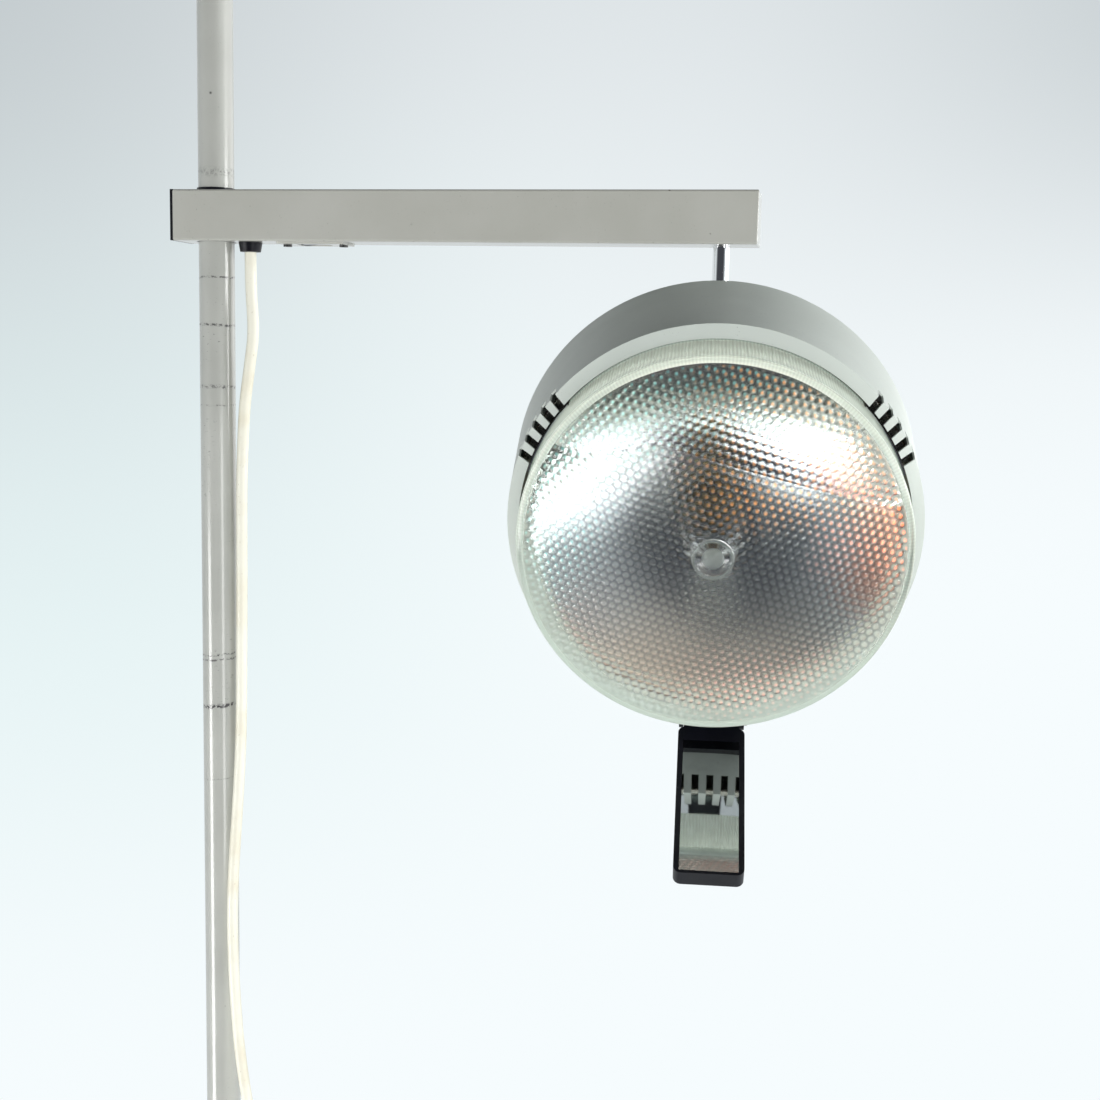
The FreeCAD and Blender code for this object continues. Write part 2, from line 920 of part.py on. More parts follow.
finished(
    "stem_knuckle",
    cut("stem_knuckle_cut", knuckle_solid, knuckle_socket, knuckle_bolt_way),
    FreeCAD.Placement(vector(stem_x, 0, 0), yaw_turn),
)

# Wiring from the terminal block over the collar and down into the stem.
wiring_high = number(arm_top - d.arm_wall - d.wiring_diameter * 0.9)
wiring_low = number(arm_floor + d.terminal_height / 2)
wiring_start = number(d.terminal_offset + d.terminal_length / 2)
wiring_end = number(stem_x)
wiring_span = wiring_end - wiring_start
wiring_points = [
    FreeCAD.Vector(wiring_start, 0, wiring_low),
    FreeCAD.Vector(wiring_start + wiring_span * 0.2, 0, wiring_low),
    FreeCAD.Vector(wiring_start + wiring_span * 0.45, 0, (wiring_low * 2 + wiring_high) / 3),
    FreeCAD.Vector(wiring_start + wiring_span * 0.7, 0, wiring_high),
    FreeCAD.Vector(wiring_end, 0, wiring_high),
    FreeCAD.Vector(wiring_end, 0, wiring_high - number(d.stem_diameter) * 1.8),
]
wiring_route = rounded_route("arm_wiring", wiring_points)
finished(
    "arm_wiring",
    swept_tube(
        "arm_wiring_tube",
        wiring_route,
        wiring_points[0],
        FreeCAD.Vector(1, 0, 0),
        number(d.wiring_diameter),
    ),
)

# Head pieces are drawn about the drum's axis: +Z to the lens, +Y up, the back plate at zero.
back_radius = d.drum_radius + d.drum_flare
pivot_y = back_radius - d.pivot_inset
head_turn = yaw_turn * FreeCAD.Rotation(FreeCAD.Vector(1, 0, 0), 90 + number(d.head_tilt))
head_pivot = vector(stem_x, 0, pivot_height)
head_origin = head_pivot - head_turn.multVec(vector(0, pivot_y, d.pivot_standoff / -1))
head_place = FreeCAD.Placement(head_origin, head_turn)

inner_radius = d.drum_radius - d.drum_wall
rim_radius = d.lens_radius + d.lens_rim_gap
drum_front = d.drum_depth + d.bevel_depth
shell_body = turned(
    "head_shell_body",
    [
        (0, 0),
        (back_radius, 0),
        (d.drum_radius, d.drum_depth),
        (rim_radius, drum_front),
        (rim_radius, drum_front - d.bevel_wall),
        (inner_radius, d.drum_depth - d.drum_wall / 2),
        (inner_radius + d.drum_flare, d.drum_wall),
        (0, d.drum_wall),
    ],
)


def back_rim(radius, height):
    def chosen(edge):
        curve = edge.Curve
        if not hasattr(curve, "Radius"):
            return False
        return abs(curve.Radius - number(radius)) < 0.01 and abs(curve.Center.z - number(height)) < 0.01

    return chosen


rounded(shell_body, "head_shell_back", d.drum_back_radius, back_rim(back_radius, 0))
rounded(
    shell_body,
    "head_shell_inner_back",
    d.drum_back_radius - d.drum_wall,
    back_rim(inner_radius + d.drum_flare, d.drum_wall),
)
shell_holes = []
bunch_angles = (32.3, 150, 272.3)
vent_low = d.drum_depth - d.vent_length
vent_reach = d.drum_radius - rim_radius + d.drum_wall * 4
vent_step = math.degrees(number(d.vent_pitch) / number(d.drum_radius))
for bunch, bunch_angle in enumerate(bunch_angles):
    for index in range(5):
        angle = bunch_angle + (index - 2) * vent_step
        slot = centred_box(
            "vent_%d_%d" % (bunch, index), vent_reach, d.vent_width, d.vent_length * 2, 0, 0, vent_low
        )
        turn = FreeCAD.Rotation(FreeCAD.Vector(0, 0, 1), angle)
        corner = FreeCAD.Vector(
            number(rim_radius - d.drum_wall), -number(d.vent_width) / 2, number(vent_low)
        )
        slot.Placement = FreeCAD.Placement(turn.multVec(corner), turn)
        shell_holes.append(slot)

# Hinge bracket on the back plate, with screws, bolt, nut and friction washers.
lug_in = d.tongue_thickness / 2 + d.friction_washer_thickness + d.loose_fit
lug_out = lug_in + d.lug_thickness
hinge_z = d.pivot_standoff / -1
bracket_pieces = [
    box(
        "bracket_plate",
        d.bracket_width,
        d.bracket_below + d.bracket_above,
        d.bracket_thickness,
        d.bracket_width / -2,
        pivot_y - d.bracket_below,
        d.bracket_thickness / -1,
    )
]
washers = []
for index, side in enumerate((-1, 1)):
    lug_x = lug_in if side > 0 else lug_out / -1
    bracket_pieces.append(
        box(
            "bracket_lug_%d" % index,
            d.lug_thickness,
            d.knuckle_eye,
            d.pivot_standoff - d.bracket_thickness / 2,
            lug_x,
            pivot_y - eye_radius,
            hinge_z,
        )
    )
    bracket_pieces.append(
        rod("bracket_eye_%d" % index, eye_radius, d.lug_thickness, lug_x, pivot_y, hinge_z, ALONG_X)
    )
    washer_x = d.tongue_thickness / 2 + d.loose_fit / 2
    washer_at = washer_x if side > 0 else (washer_x + d.friction_washer_thickness) / -1
    washer_disc = rod(
        "friction_disc_%d" % index,
        d.friction_washer_diameter / 2,
        d.friction_washer_thickness,
        washer_at,
        pivot_y,
        hinge_z,
        ALONG_X,
    )
    washer_bore = rod(
        "friction_bore_%d" % index,
        d.hinge_bolt_diameter / 2 + d.shaft_fit,
        d.friction_washer_thickness * 3,
        washer_at - d.friction_washer_thickness,
        pivot_y,
        hinge_z,
        ALONG_X,
    )
    washers.append(cut("friction_washer_%d" % index, washer_disc, washer_bore))
finished("friction_washers", group("friction_washer_set", washers), head_place)
bracket_holes = [
    rod(
        "bracket_bolt_way",
        d.hinge_bolt_diameter / 2 + d.shaft_fit,
        d.bracket_width * 2,
        d.bracket_width / -1,
        pivot_y,
        hinge_z,
        ALONG_X,
    )
]
bracket_screws = []
bracket_seat = d.bracket_thickness / -1
for across in (-1, 1):
    for upper in (0, 1):
        name = "%s_%s" % ("left" if across < 0 else "right", "upper" if upper else "lower")
        screw_x = (d.bracket_width / 2 - d.bracket_screw_edge) * across
        screw_y = pivot_y - d.bracket_below + d.bracket_screw_edge
        if upper:
            screw_y = pivot_y + d.bracket_above - d.bracket_screw_edge
        for holes, label in ((bracket_holes, "bracket"), (shell_holes, "shell")):
            holes.append(
                rod(
                    "%s_screw_hole_%s" % (label, name),
                    d.bracket_screw_diameter / 2 + d.loose_fit,
                    d.bracket_screw_length * 2,
                    screw_x,
                    screw_y,
                    bracket_seat - d.bracket_screw_length / 2,
                )
            )
        shank = rod(
            "bracket_shank_" + name,
            d.bracket_screw_diameter / 2,
            d.bracket_screw_length,
            screw_x,
            screw_y,
            bracket_seat,
        )
        head = rod(
            "bracket_head_" + name,
            d.bracket_screw_head / 2,
            d.bracket_screw_head_height,
            screw_x,
            screw_y,
            bracket_seat - d.bracket_screw_head_height,
        )
        bracket_screws.append(fuse("bracket_screw_" + name, shank, head))
bracket_solid = fuse("bracket_solid", *bracket_pieces)
finished("hinge_bracket", cut("hinge_bracket_cut", bracket_solid, *bracket_holes), head_place)
finished("bracket_screws", group("bracket_screw_set", bracket_screws), head_place)
bolt_length = lug_out * 2 + d.hinge_nut_height
bolt_shank = rod(
    "bolt_shank", d.hinge_bolt_diameter / 2, bolt_length, lug_out / -1, pivot_y, hinge_z, ALONG_X
)
bolt_head = hexagon(
    "bolt_head",
    d.hinge_head_width,
    d.hinge_head_height,
    (lug_out + d.hinge_head_height) / -1,
    pivot_y,
    hinge_z,
    ALONG_X,
)
finished("hinge_bolt", fuse("hinge_bolt_fuse", bolt_shank, bolt_head), head_place)
hinge_nut_blank = hexagon(
    "hinge_nut_blank", d.hinge_head_width, d.hinge_nut_height, lug_out, pivot_y, hinge_z, ALONG_X
)
hinge_nut_bore = rod(
    "hinge_nut_bore",
    d.hinge_bolt_diameter / 2 + d.shaft_fit,
    d.hinge_nut_height * 2,
    lug_out - d.hinge_nut_height / 2,
    pivot_y,
    hinge_z,
    ALONG_X,
)
finished("hinge_nut", cut("hinge_nut_cut", hinge_nut_blank, hinge_nut_bore), head_place)
finished("head_shell", cut("head_shell_cut", shell_body, *shell_holes), head_place)

# Reflector: a spherical bowl with a flat rim and a hole for the lampholder.
flange_back = d.lens_flange_back - d.running_gap - d.reflector_wall
bowl_radius = (d.reflector_radius * d.reflector_radius + d.reflector_depth * d.reflector_depth) / (
    d.reflector_depth * 2
)
bowl_centre = flange_back - d.reflector_depth + bowl_radius
bowl_outer = ball("bowl_outer", bowl_radius + d.reflector_wall, bowl_centre)
bowl_slab = rod(
    "bowl_slab", bowl_radius, d.reflector_depth * 1.5, 0, 0, flange_back - d.reflector_depth * 1.5
)
bowl_cap = common("bowl_cap", bowl_outer, bowl_slab)
bowl_rim = rod(
    "bowl_rim", d.reflector_radius + d.reflector_flange_width, d.reflector_wall, 0, 0, flange_back
)
bowl_solid = fuse("bowl_solid", bowl_cap, bowl_rim)
bowl_inner = ball("bowl_inner", bowl_radius, bowl_centre)
bowl_mouth = rod(
    "bowl_mouth", d.reflector_radius, d.reflector_wall * 4, 0, 0, flange_back - d.reflector_wall
)
bowl_hole = rod(
    "bowl_hole",
    d.holder_diameter / 2 + d.running_gap * 7,
    d.reflector_depth,
    0,
    0,
    flange_back - d.reflector_depth * 1.5,
)
finished("reflector", cut("reflector_cut", bowl_solid, bowl_inner, bowl_mouth, bowl_hole), head_place)

# Lens: ribbed wall drawn plain, domed face, mounting flange and a ring boss in the middle.
dome_radius = (d.lens_radius * d.lens_radius + d.lens_rise * d.lens_rise) / (d.lens_rise * 2)
dome_centre = d.lens_front + d.lens_rise - dome_radius
lens_height = d.lens_front + d.lens_rise * 2 - d.lens_flange_back
lens_outer = common(
    "lens_outer",
    rod("lens_outer_wall", d.lens_radius, lens_height, 0, 0, d.lens_flange_back),
    ball("lens_outer_dome", dome_radius, dome_centre),
)
lens_inner = common(
    "lens_inner",
    rod(
        "lens_inner_wall",
        d.lens_radius - d.lens_wall,
        lens_height * 2,
        0,
        0,
        d.lens_flange_back - lens_height,
    ),
    ball("lens_inner_dome", dome_radius - d.lens_wall, dome_centre),
)
lens_flange = rod(
    "lens_flange", d.lens_radius + d.lens_flange_width, d.lens_flange_thickness, 0, 0, d.lens_flange_back
)
apex = d.lens_front + d.lens_rise
boss_outer = rod(
    "boss_outer", d.boss_diameter / 2, d.boss_proud + d.lens_wall / 2, 0, 0, apex - d.lens_wall / 2
)
boss_inner = rod(
    "boss_inner", d.boss_diameter / 2 - d.boss_wall, d.lens_wall * 4, 0, 0, apex - d.lens_wall * 2
)
boss = cut("boss", boss_outer, boss_inner)
lens_bowl = cut("lens_bowl", fuse("lens_blank", lens_outer, lens_flange), lens_inner)
finished("lens", fuse("lens_fuse", lens_bowl, boss), head_place)

# Spring bands that stand on the lens flange in front of each bunch of vents.
bands = []
band_low = d.lens_flange_back + d.lens_flange_thickness
band_inside = d.lens_radius + d.band_clear
for index, bunch_angle in enumerate(bunch_angles):
    hoop = cut(
        "band_hoop_%d" % index,
        rod("band_outside_%d" % index, band_inside + d.band_thickness, d.band_height, 0, 0, band_low),
        rod(
            "band_inside_%d" % index,
            band_inside,
            d.band_height * 3,
            0,
            0,
            band_low - d.band_height,
        ),
    )
    sector = box("band_sector_%d" % index, d.lens_radius, d.band_length, d.band_height * 3)
    turn = FreeCAD.Rotation(FreeCAD.Vector(0, 0, 1), bunch_angle)
    corner = FreeCAD.Vector(
        number(d.lens_radius / 2), -number(d.band_length) / 2, number(band_low - d.band_height)
    )
    sector.Placement = FreeCAD.Placement(turn.multVec(corner), turn)
    bands.append(common("band_%d" % index, hoop, sector))
finished("lens_bands", group("band_set", bands), head_place)

# Clips that hold the rims of reflector and lens behind the bevel.
clips = []
clip_high = flange_back - d.running_gap
for index in range(4):
    turn = FreeCAD.Rotation(FreeCAD.Vector(0, 0, 1), 45 + 90 * index)
    clip = box("clip_%d" % index, d.clip_depth, d.clip_width, d.clip_length)
    corner = FreeCAD.Vector(
        number(inner_radius - d.loose_fit * 3 - d.clip_depth),
        -number(d.clip_width) / 2,
        number(clip_high - d.clip_length),
    )
    clip.Placement = FreeCAD.Placement(turn.multVec(corner), turn)
    clips.append(clip)
finished("lens_clips", group("clip_set", clips), head_place)

# Lampholder on the back plate and the bulb in it.
holder_top = d.drum_wall + d.holder_length
holder_floor = holder_top - d.holder_bore_depth
cap_radius = d.bulb_cap_diameter / 2
finished(
    "lampholder",
    turned(
        "lampholder_body",
        [
            (0, d.drum_wall),
            (d.holder_diameter / 2, d.drum_wall),
            (d.holder_diameter / 2, holder_top),
            (cap_radius + d.loose_fit, holder_top),
            (cap_radius + d.loose_fit, holder_floor),
            (0, holder_floor),
        ],
    ),
    head_place,
)
cap_low = holder_floor + d.loose_fit
cap_top = cap_low + d.bulb_cap_length
finished("bulb_cap", turned("bulb_cap_body", rectangle(0, cap_low, cap_radius, cap_top)), head_place)
glass_solids = []
for label, thin in (("outer", 0), ("inner", 1)):
    skin = d.bulb_wall * thin
    neck = cone(
        "bulb_neck_" + label,
        cap_radius - skin,
        d.bulb_shoulder_diameter / 2 - skin,
        d.bulb_neck_length,
        0,
        0,
        cap_top + skin,
    )
    globe = ball("bulb_globe_" + label, d.bulb_diameter / 2 - skin, cap_top + d.bulb_centre)
    glass_solids.append(fuse("bulb_" + label, neck, globe))
finished("bulb_glass", cut("bulb_glass_cut", *glass_solids), head_place)

# Bracket below the drum, a little to one side, that carries the mirror on a pin.
handle_place = FreeCAD.Placement(head_place.multVec(vector(d.mirror_offset, 0, 0)), head_turn)
pin_y = (d.drum_radius + d.mirror_pin_drop) / -1
pin_z = d.mirror_pin_position
lug_inner = d.mirror_tongue_width / 2 + d.running_gap
saddle_half = lug_inner + d.mirror_lug_thickness
lug_radius = d.mirror_lug_diameter / 2
saddle = box(
    "saddle",
    saddle_half * 2,
    d.saddle_depth + d.saddle_sink,
    d.saddle_length,
    saddle_half / -1,
    (d.drum_radius + d.saddle_depth) / -1,
    pin_z - d.saddle_back,
)
saddle_pieces = [saddle]
for index, side in enumerate((-1, 1)):
    lug_x = lug_inner if side > 0 else saddle_half / -1
    saddle_pieces.append(
        box(
            "mirror_lug_%d" % index,
            d.mirror_lug_thickness,
            d.mirror_pin_drop - d.saddle_depth / 2,
            d.mirror_lug_diameter,
            lug_x,
            pin_y,
            pin_z - lug_radius,
        )
    )
    saddle_pieces.append(
        rod("mirror_eye_%d" % index, lug_radius, d.mirror_lug_thickness, lug_x, pin_y, pin_z, ALONG_X)
    )
drum_space = cone(
    "drum_space",
    back_radius + d.shaft_fit,
    d.drum_radius + d.shaft_fit,
    d.drum_depth,
    d.mirror_offset / -1,
)
pin_way = rod(
    "pin_way",
    d.mirror_pin_diameter / 2 + d.shaft_fit,
    saddle_half * 4,
    saddle_half * -2,
    pin_y,
    pin_z,
    ALONG_X,
)
finished(
    "handle_bracket",
    cut("handle_bracket_cut", fuse("saddle_solid", *saddle_pieces), drum_space, pin_way),
    handle_place,
)
pin_left = saddle_half / -1
pin_pieces = [
    rod("pin_rod", d.mirror_pin_diameter / 2, saddle_half * 2, pin_left, pin_y, pin_z, ALONG_X)
]
for label, start in (("left", pin_left - d.mirror_pin_head_thickness), ("right", saddle_half)):
    pin_pieces.append(
        rod(
            "pin_head_" + label,
            d.mirror_pin_head / 2,
            d.mirror_pin_head_thickness,
            start,
            pin_y,
            pin_z,
            ALONG_X,
        )
    )
finished("mirror_pin", fuse("mirror_pin_fuse", *pin_pieces), handle_place)

# Mirror frame and glass, drawn from the pin: +Z along the frame, +Y out of the glass.
mirror_origin = handle_place.multVec(vector(0, pin_y, pin_z))
mirror_turn = yaw_turn * FreeCAD.Rotation(FreeCAD.Vector(1, 0, 0), 90 + number(d.mirror_angle))
mirror_place = FreeCAD.Placement(mirror_origin, mirror_turn)
frame_length = d.mirror_end - d.mirror_start
frame_body = extruded(
    "mirror_frame_body",
    "XY_Plane",
    d.mirror_frame_thickness,
    rectangle(0, 0, d.mirror_frame_width, frame_length),
)


def across_frame(edge):
    return abs(edge.tangentAt(edge.FirstParameter).z) > 0.99


rounded(frame_body, "mirror_frame_corners", d.mirror_frame_corner, across_frame)
frame_body.Placement = FreeCAD.Placement(
    vector(d.mirror_frame_width / -2, d.mirror_frame_thickness / 2, d.mirror_start),
    FreeCAD.Rotation(FreeCAD.Vector(1, 0, 0), 90),
)
tongue_radius = d.mirror_tongue_diameter / 2
tongue = box(
    "mirror_tongue",
    d.mirror_tongue_width,
    d.mirror_frame_thickness,
    d.mirror_start * 1.5,
    d.mirror_tongue_width / -2,
    d.mirror_frame_thickness / -2,
    0,
)
tongue_eye = rod(
    "mirror_tongue_eye", tongue_radius, d.mirror_tongue_width, d.mirror_tongue_width / -2, 0, 0, ALONG_X
)
tongue_way = rod(
    "mirror_tongue_way",
    d.mirror_pin_diameter / 2 + d.shaft_fit,
    d.mirror_tongue_width * 2,
    d.mirror_tongue_width / -1,
    0,
    0,
    ALONG_X,
)
glass_width = d.mirror_frame_width - d.mirror_border * 2
glass_length = frame_length - d.mirror_top_border - d.mirror_end_border
glass_low = d.mirror_frame_thickness / 2 - d.mirror_glass_thickness
glass_start = d.mirror_start + d.mirror_top_border
recess = box(
    "mirror_recess",
    glass_width,
    d.mirror_glass_thickness * 2,
    glass_length,
    glass_width / -2,
    glass_low - d.loose_fit,
    glass_start,
)
frame_solid = fuse("mirror_frame_solid", frame_body, tongue, tongue_eye)
finished("mirror_frame", cut("mirror_frame_cut", frame_solid, tongue_way, recess), mirror_place)
glass = box(
    "mirror_glass_box",
    glass_width - d.loose_fit * 2,
    d.mirror_glass_thickness,
    glass_length - d.loose_fit * 2,
)
glass_corner = vector(
    glass_width / -2 + d.loose_fit, glass_low - d.loose_fit, glass_start + d.loose_fit
)
finished("mirror_glass", glass, FreeCAD.Placement(mirror_place.multVec(glass_corner), mirror_turn))

# Cord: it hangs beside the pole, sweeps out over the base and lands where the coil begins.
# The heights of its points follow the gland.
cord = number(d.cord_diameter)
coil_level = cord / 2 + number(d.tie_thickness + d.loose_fit)
coil_centre = FreeCAD.Vector(number(d.coil_x), number(d.coil_y), coil_level)
CORD_POINTS = [
    (25.3, 0, 1375.8),
    (25.3, 0, 1350),
    (27.8, -0.3, 1321),
    (24.4, -0.6, 1296),
    (20.9, -1.0, 1271),
    (19.4, -1.5, 1245),
    (18.2, -2.0, 1205),
    (18.3, -2.3, 1150),
    (18.2, -3.5, 1084),
    (17.8, -4.4, 1024),
    (16.6, -8.0, 980),
    (14.8, -11.2, 940),
    (13.5, -13.0, 902),
    (13.7, -13.0, 864),
    (15.2, -12.4, 825),
    (18.0, -12.0, 787),
    (22.8, -12.0, 753),
    (30.0, -12.6, 715),
    (43.0, -14.4, 650),
    (62.0, -17.0, 560),
    (86.0, -20.0, 460),
    (113.0, -23.8, 368),
    (142.0, -28.2, 286),
    (171.0, -33.0, 210),
    (195.0, -37.4, 143),
    (214.0, -41.2, 88),
    (230.0, -44.6, 51),
    (247.0, -47.6, 26),
    (266.0, -49.4, 11),
    (285.0, -50.0, 5.1),
    (301.8, -50.0, 5.1),
]
cord_top = number(arm_bottom - d.gland_height - d.loose_fit)
cord_rise = (cord_top - coil_level) / (CORD_POINTS[0][2] - CORD_POINTS[-1][2])
cord_points = []
for across, front, height in CORD_POINTS:
    level = coil_level + (height - CORD_POINTS[-1][2]) * cord_rise
    cord_points.append(FreeCAD.Vector(across, front, level))
cord_route = rounded_route("cord_drop", cord_points)
finished(
    "cord_drop",
    swept_tube("cord_drop_tube", cord_route, cord_points[0], cord_points[1] - cord_points[0], cord),
)


def spiral_node(quarter):
    """Place and direction of the coil at a quarter turn: in, up a layer over half a turn, and out again."""
    inward = 10
    climb = 2
    angle = math.radians(90 * quarter - 90)
    step = number(d.coil_pitch) / 4
    out = max(0, quarter - inward - climb)
    radius = number(d.coil_radius) - min(quarter, inward) * step + out * step
    rise = min(max(quarter - inward, 0), climb) / climb * number(d.coil_layer)
    spread = 0
    if quarter < inward:
        spread = -step / (math.pi / 2)
    if quarter > inward + climb:
        spread = step / (math.pi / 2)
    slope = 0
    if inward < quarter < inward + climb:
        slope = 1.5 * number(d.coil_layer) / math.pi
    outward = FreeCAD.Vector(math.cos(angle), math.sin(angle), 0)
    forward = FreeCAD.Vector(-math.sin(angle), math.cos(angle), 0)
    place = coil_centre + outward * radius + FreeCAD.Vector(0, 0, rise)
    direction = forward * radius + FreeCAD.Vector(0, 0, slope)
    if 0 < quarter < 2 * inward + climb:
        direction = direction + outward * spread
    return place, direction.normalize()


def biarc(place, direction, next_place, next_direction):
    """Two arcs that join two places with their directions."""
    chord = next_place - place
    both = direction + next_direction
    spread = 2 * (1 - direction.dot(next_direction))
    lean = chord.dot(both)
    reach = (-lean + math.sqrt(lean**2 + spread * chord.dot(chord))) / spread
    corner = place + direction * reach
    next_corner = next_place - next_direction * reach
    joint = (corner + next_corner) * 0.5
    first, _ = tangent_arc(place, corner, joint)
    last, _ = tangent_arc(joint, next_corner, next_place)
    return [first.toShape(), last.toShape()]


coil_nodes = [spiral_node(quarter) for quarter in range(23)]
coil_start = coil_nodes[0][0] - coil_nodes[0][1] * cord
coil_end = coil_nodes[-1][0] + coil_nodes[-1][1] * cord
coil_edges = [Part.LineSegment(coil_start, coil_nodes[0][0]).toShape()]
for here, there in zip(coil_nodes, coil_nodes[1:]):
    coil_edges.extend(biarc(here[0], here[1], there[0], there[1]))
coil_edges.append(Part.LineSegment(coil_nodes[-1][0], coil_end).toShape())
coil_route = Part.Wire(coil_edges)
coil_line = coil_route.discretize(Number=700)
coil_step = coil_route.Length / 699
apart = int(4 * cord / coil_step)
least = min(
    here.distanceToPoint(there)
    for index, here in enumerate(coil_line)
    for there in coil_line[index + apart :]
)
print("cord_coil least gap to itself", round(least - cord, 2))
finished("cord_coil", swept_tube("cord_coil_tube", coil_route, coil_start, coil_nodes[0][1], cord))

# Tie round the bundle of turns.
tie_angle_radius = d.coil_radius - d.coil_pitch / 4
tie_in = tie_angle_radius - d.coil_pitch * 2 - d.cord_diameter / 2 - d.tie_inner_slack
tie_out = tie_angle_radius + d.cord_diameter / 2 + d.loose_fit * 2
tie_height = d.cord_diameter + d.coil_layer + d.loose_fit * 2
tie_x = d.coil_x + tie_in
tie_band = box(
    "tie_band",
    tie_out - tie_in + d.tie_thickness * 2,
    d.tie_width,
    tie_height + d.tie_thickness * 2,
    tie_x - d.tie_thickness,
    d.coil_y - d.tie_width / 2,
    0,
)
tie_room = box(
    "tie_room",
    tie_out - tie_in,
    d.tie_width * 3,
    tie_height,
    tie_x,
    d.coil_y - d.tie_width * 1.5,
    d.tie_thickness,
)
finished("cord_tie", cut("cord_tie_cut", tie_band, tie_room))

# Plug at the coil's outer end, lying flat on the floor.
plug_way = coil_nodes[-1][1]
plug_turn = FreeCAD.Rotation(FreeCAD.Vector(1, 0, 0), plug_way)
plug_axis = coil_level + number(d.coil_layer)


def on_plug(obj, along, across, height):
    """Puts a piece at a distance along the cord's end, across it and above the floor."""
    offset = FreeCAD.Vector(number(along), number(across), 0)
    spot = FreeCAD.Vector(coil_end.x, coil_end.y, number(height)) + plug_turn.multVec(offset)
    obj.Placement = FreeCAD.Placement(spot, plug_turn * obj.Placement.Rotation)
    return obj


relief = cone(
    "relief_cone", d.relief_tip_diameter / 2, d.relief_diameter / 2, d.relief_length, 0, 0, 0, ALONG_X
)
finished("plug_strain_relief", on_plug(relief, 0, 0, plug_axis))
plug_half = d.plug_width / 2
neck_half = d.plug_neck / 2
plug_thickness = d.cord_diameter + d.coil_layer * 2 + (d.tie_thickness + d.loose_fit) * 2
plug_body = extruded(
    "mains_plug_body",
    "XY_Plane",
    plug_thickness,
    [
        (0, plug_half - neck_half),
        (d.plug_shoulder, 0),
        (d.plug_length, 0),
        (d.plug_length, d.plug_width),
        (d.plug_shoulder, d.plug_width),
        (0, plug_half + neck_half),
    ],
)
rounded(plug_body, "mains_plug_corners", d.plug_corner, across_frame)
finished("mains_plug", on_plug(plug_body, d.relief_length, plug_half / -1, 0))
pins = []
for index, side in enumerate((-1, 1)):
    pin = rod("plug_pin_%d" % index, d.plug_pin_diameter / 2, d.plug_pin_length, 0, 0, 0, ALONG_X)
    pins.append(on_plug(pin, d.relief_length + d.plug_length, d.plug_pin_spacing / 2 * side, plug_axis))
finished("plug_pins", group("plug_pin_set", pins))

doc.recompute()
for obj in doc.Objects:
    if "Invalid" in obj.State or "Error" in obj.State:
        raise RuntimeError("%s failed: %s" % (obj.Name, obj.State))
for piece in parts:
    shape = piece.Shape
    if shape.isNull() or not shape.isValid() or not shape.Solids:
        raise RuntimeError("%s has no valid solid" % piece.Label)
for piece in parts:
    piece.Shape.exportStep("parts/%s.step" % piece.Label)
print(len(parts), "pieces written")
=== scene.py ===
import json
import math

import bmesh
import bpy
from mathutils import Euler, Matrix, Vector


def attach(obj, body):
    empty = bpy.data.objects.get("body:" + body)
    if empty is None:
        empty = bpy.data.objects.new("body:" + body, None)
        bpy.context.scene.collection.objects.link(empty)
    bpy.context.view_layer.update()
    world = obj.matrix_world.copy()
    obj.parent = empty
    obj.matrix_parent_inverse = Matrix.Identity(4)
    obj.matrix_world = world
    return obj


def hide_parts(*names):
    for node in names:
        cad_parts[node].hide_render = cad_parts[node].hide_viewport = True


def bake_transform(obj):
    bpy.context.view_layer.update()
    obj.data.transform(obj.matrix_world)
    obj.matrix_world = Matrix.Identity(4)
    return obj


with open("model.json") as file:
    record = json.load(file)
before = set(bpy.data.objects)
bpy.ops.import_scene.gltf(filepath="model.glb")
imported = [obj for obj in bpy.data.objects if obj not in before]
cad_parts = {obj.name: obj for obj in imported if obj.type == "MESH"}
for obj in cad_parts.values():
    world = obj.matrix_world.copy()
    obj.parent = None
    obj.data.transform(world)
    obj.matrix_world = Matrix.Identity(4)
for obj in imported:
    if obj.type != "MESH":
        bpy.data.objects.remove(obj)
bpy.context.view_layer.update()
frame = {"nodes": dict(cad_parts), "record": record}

scene = bpy.context.scene
scene.view_settings.view_transform = "Standard"
MM = 0.001


class Value:
    """A socket that can stand in a sum: each operator adds its Math node."""

    def __init__(self, tree, socket):
        self.tree = tree
        self.socket = socket

    def math(self, operation, *others):
        return self.tree.math(operation, self, *others)

    def __add__(self, other):
        return self.math("ADD", other)

    def __radd__(self, other):
        return self.tree.math("ADD", other, self)

    def __sub__(self, other):
        return self.math("SUBTRACT", other)

    def __rsub__(self, other):
        return self.tree.math("SUBTRACT", other, self)

    def __mul__(self, other):
        return self.math("MULTIPLY", other)

    def __rmul__(self, other):
        return self.tree.math("MULTIPLY", other, self)

    def __truediv__(self, other):
        return self.math("DIVIDE", other)

    def __gt__(self, other):
        return self.math("GREATER_THAN", other)

    def __lt__(self, other):
        return self.math("LESS_THAN", other)

    def __abs__(self):
        return self.math("ABSOLUTE")

    def step(self, low, high):
        """A smooth rise from 0 at low to 1 at high."""
        return self.tree.node(
            "ShaderNodeMapRange",
            {"interpolation_type": "SMOOTHSTEP"},
            {"Value": self, "From Min": low, "From Max": high},
        )

    def near(self, middle, width):
        """1 at the middle, fading to 0 at a width from it."""
        return 1 - abs(self - middle).step(0, width)


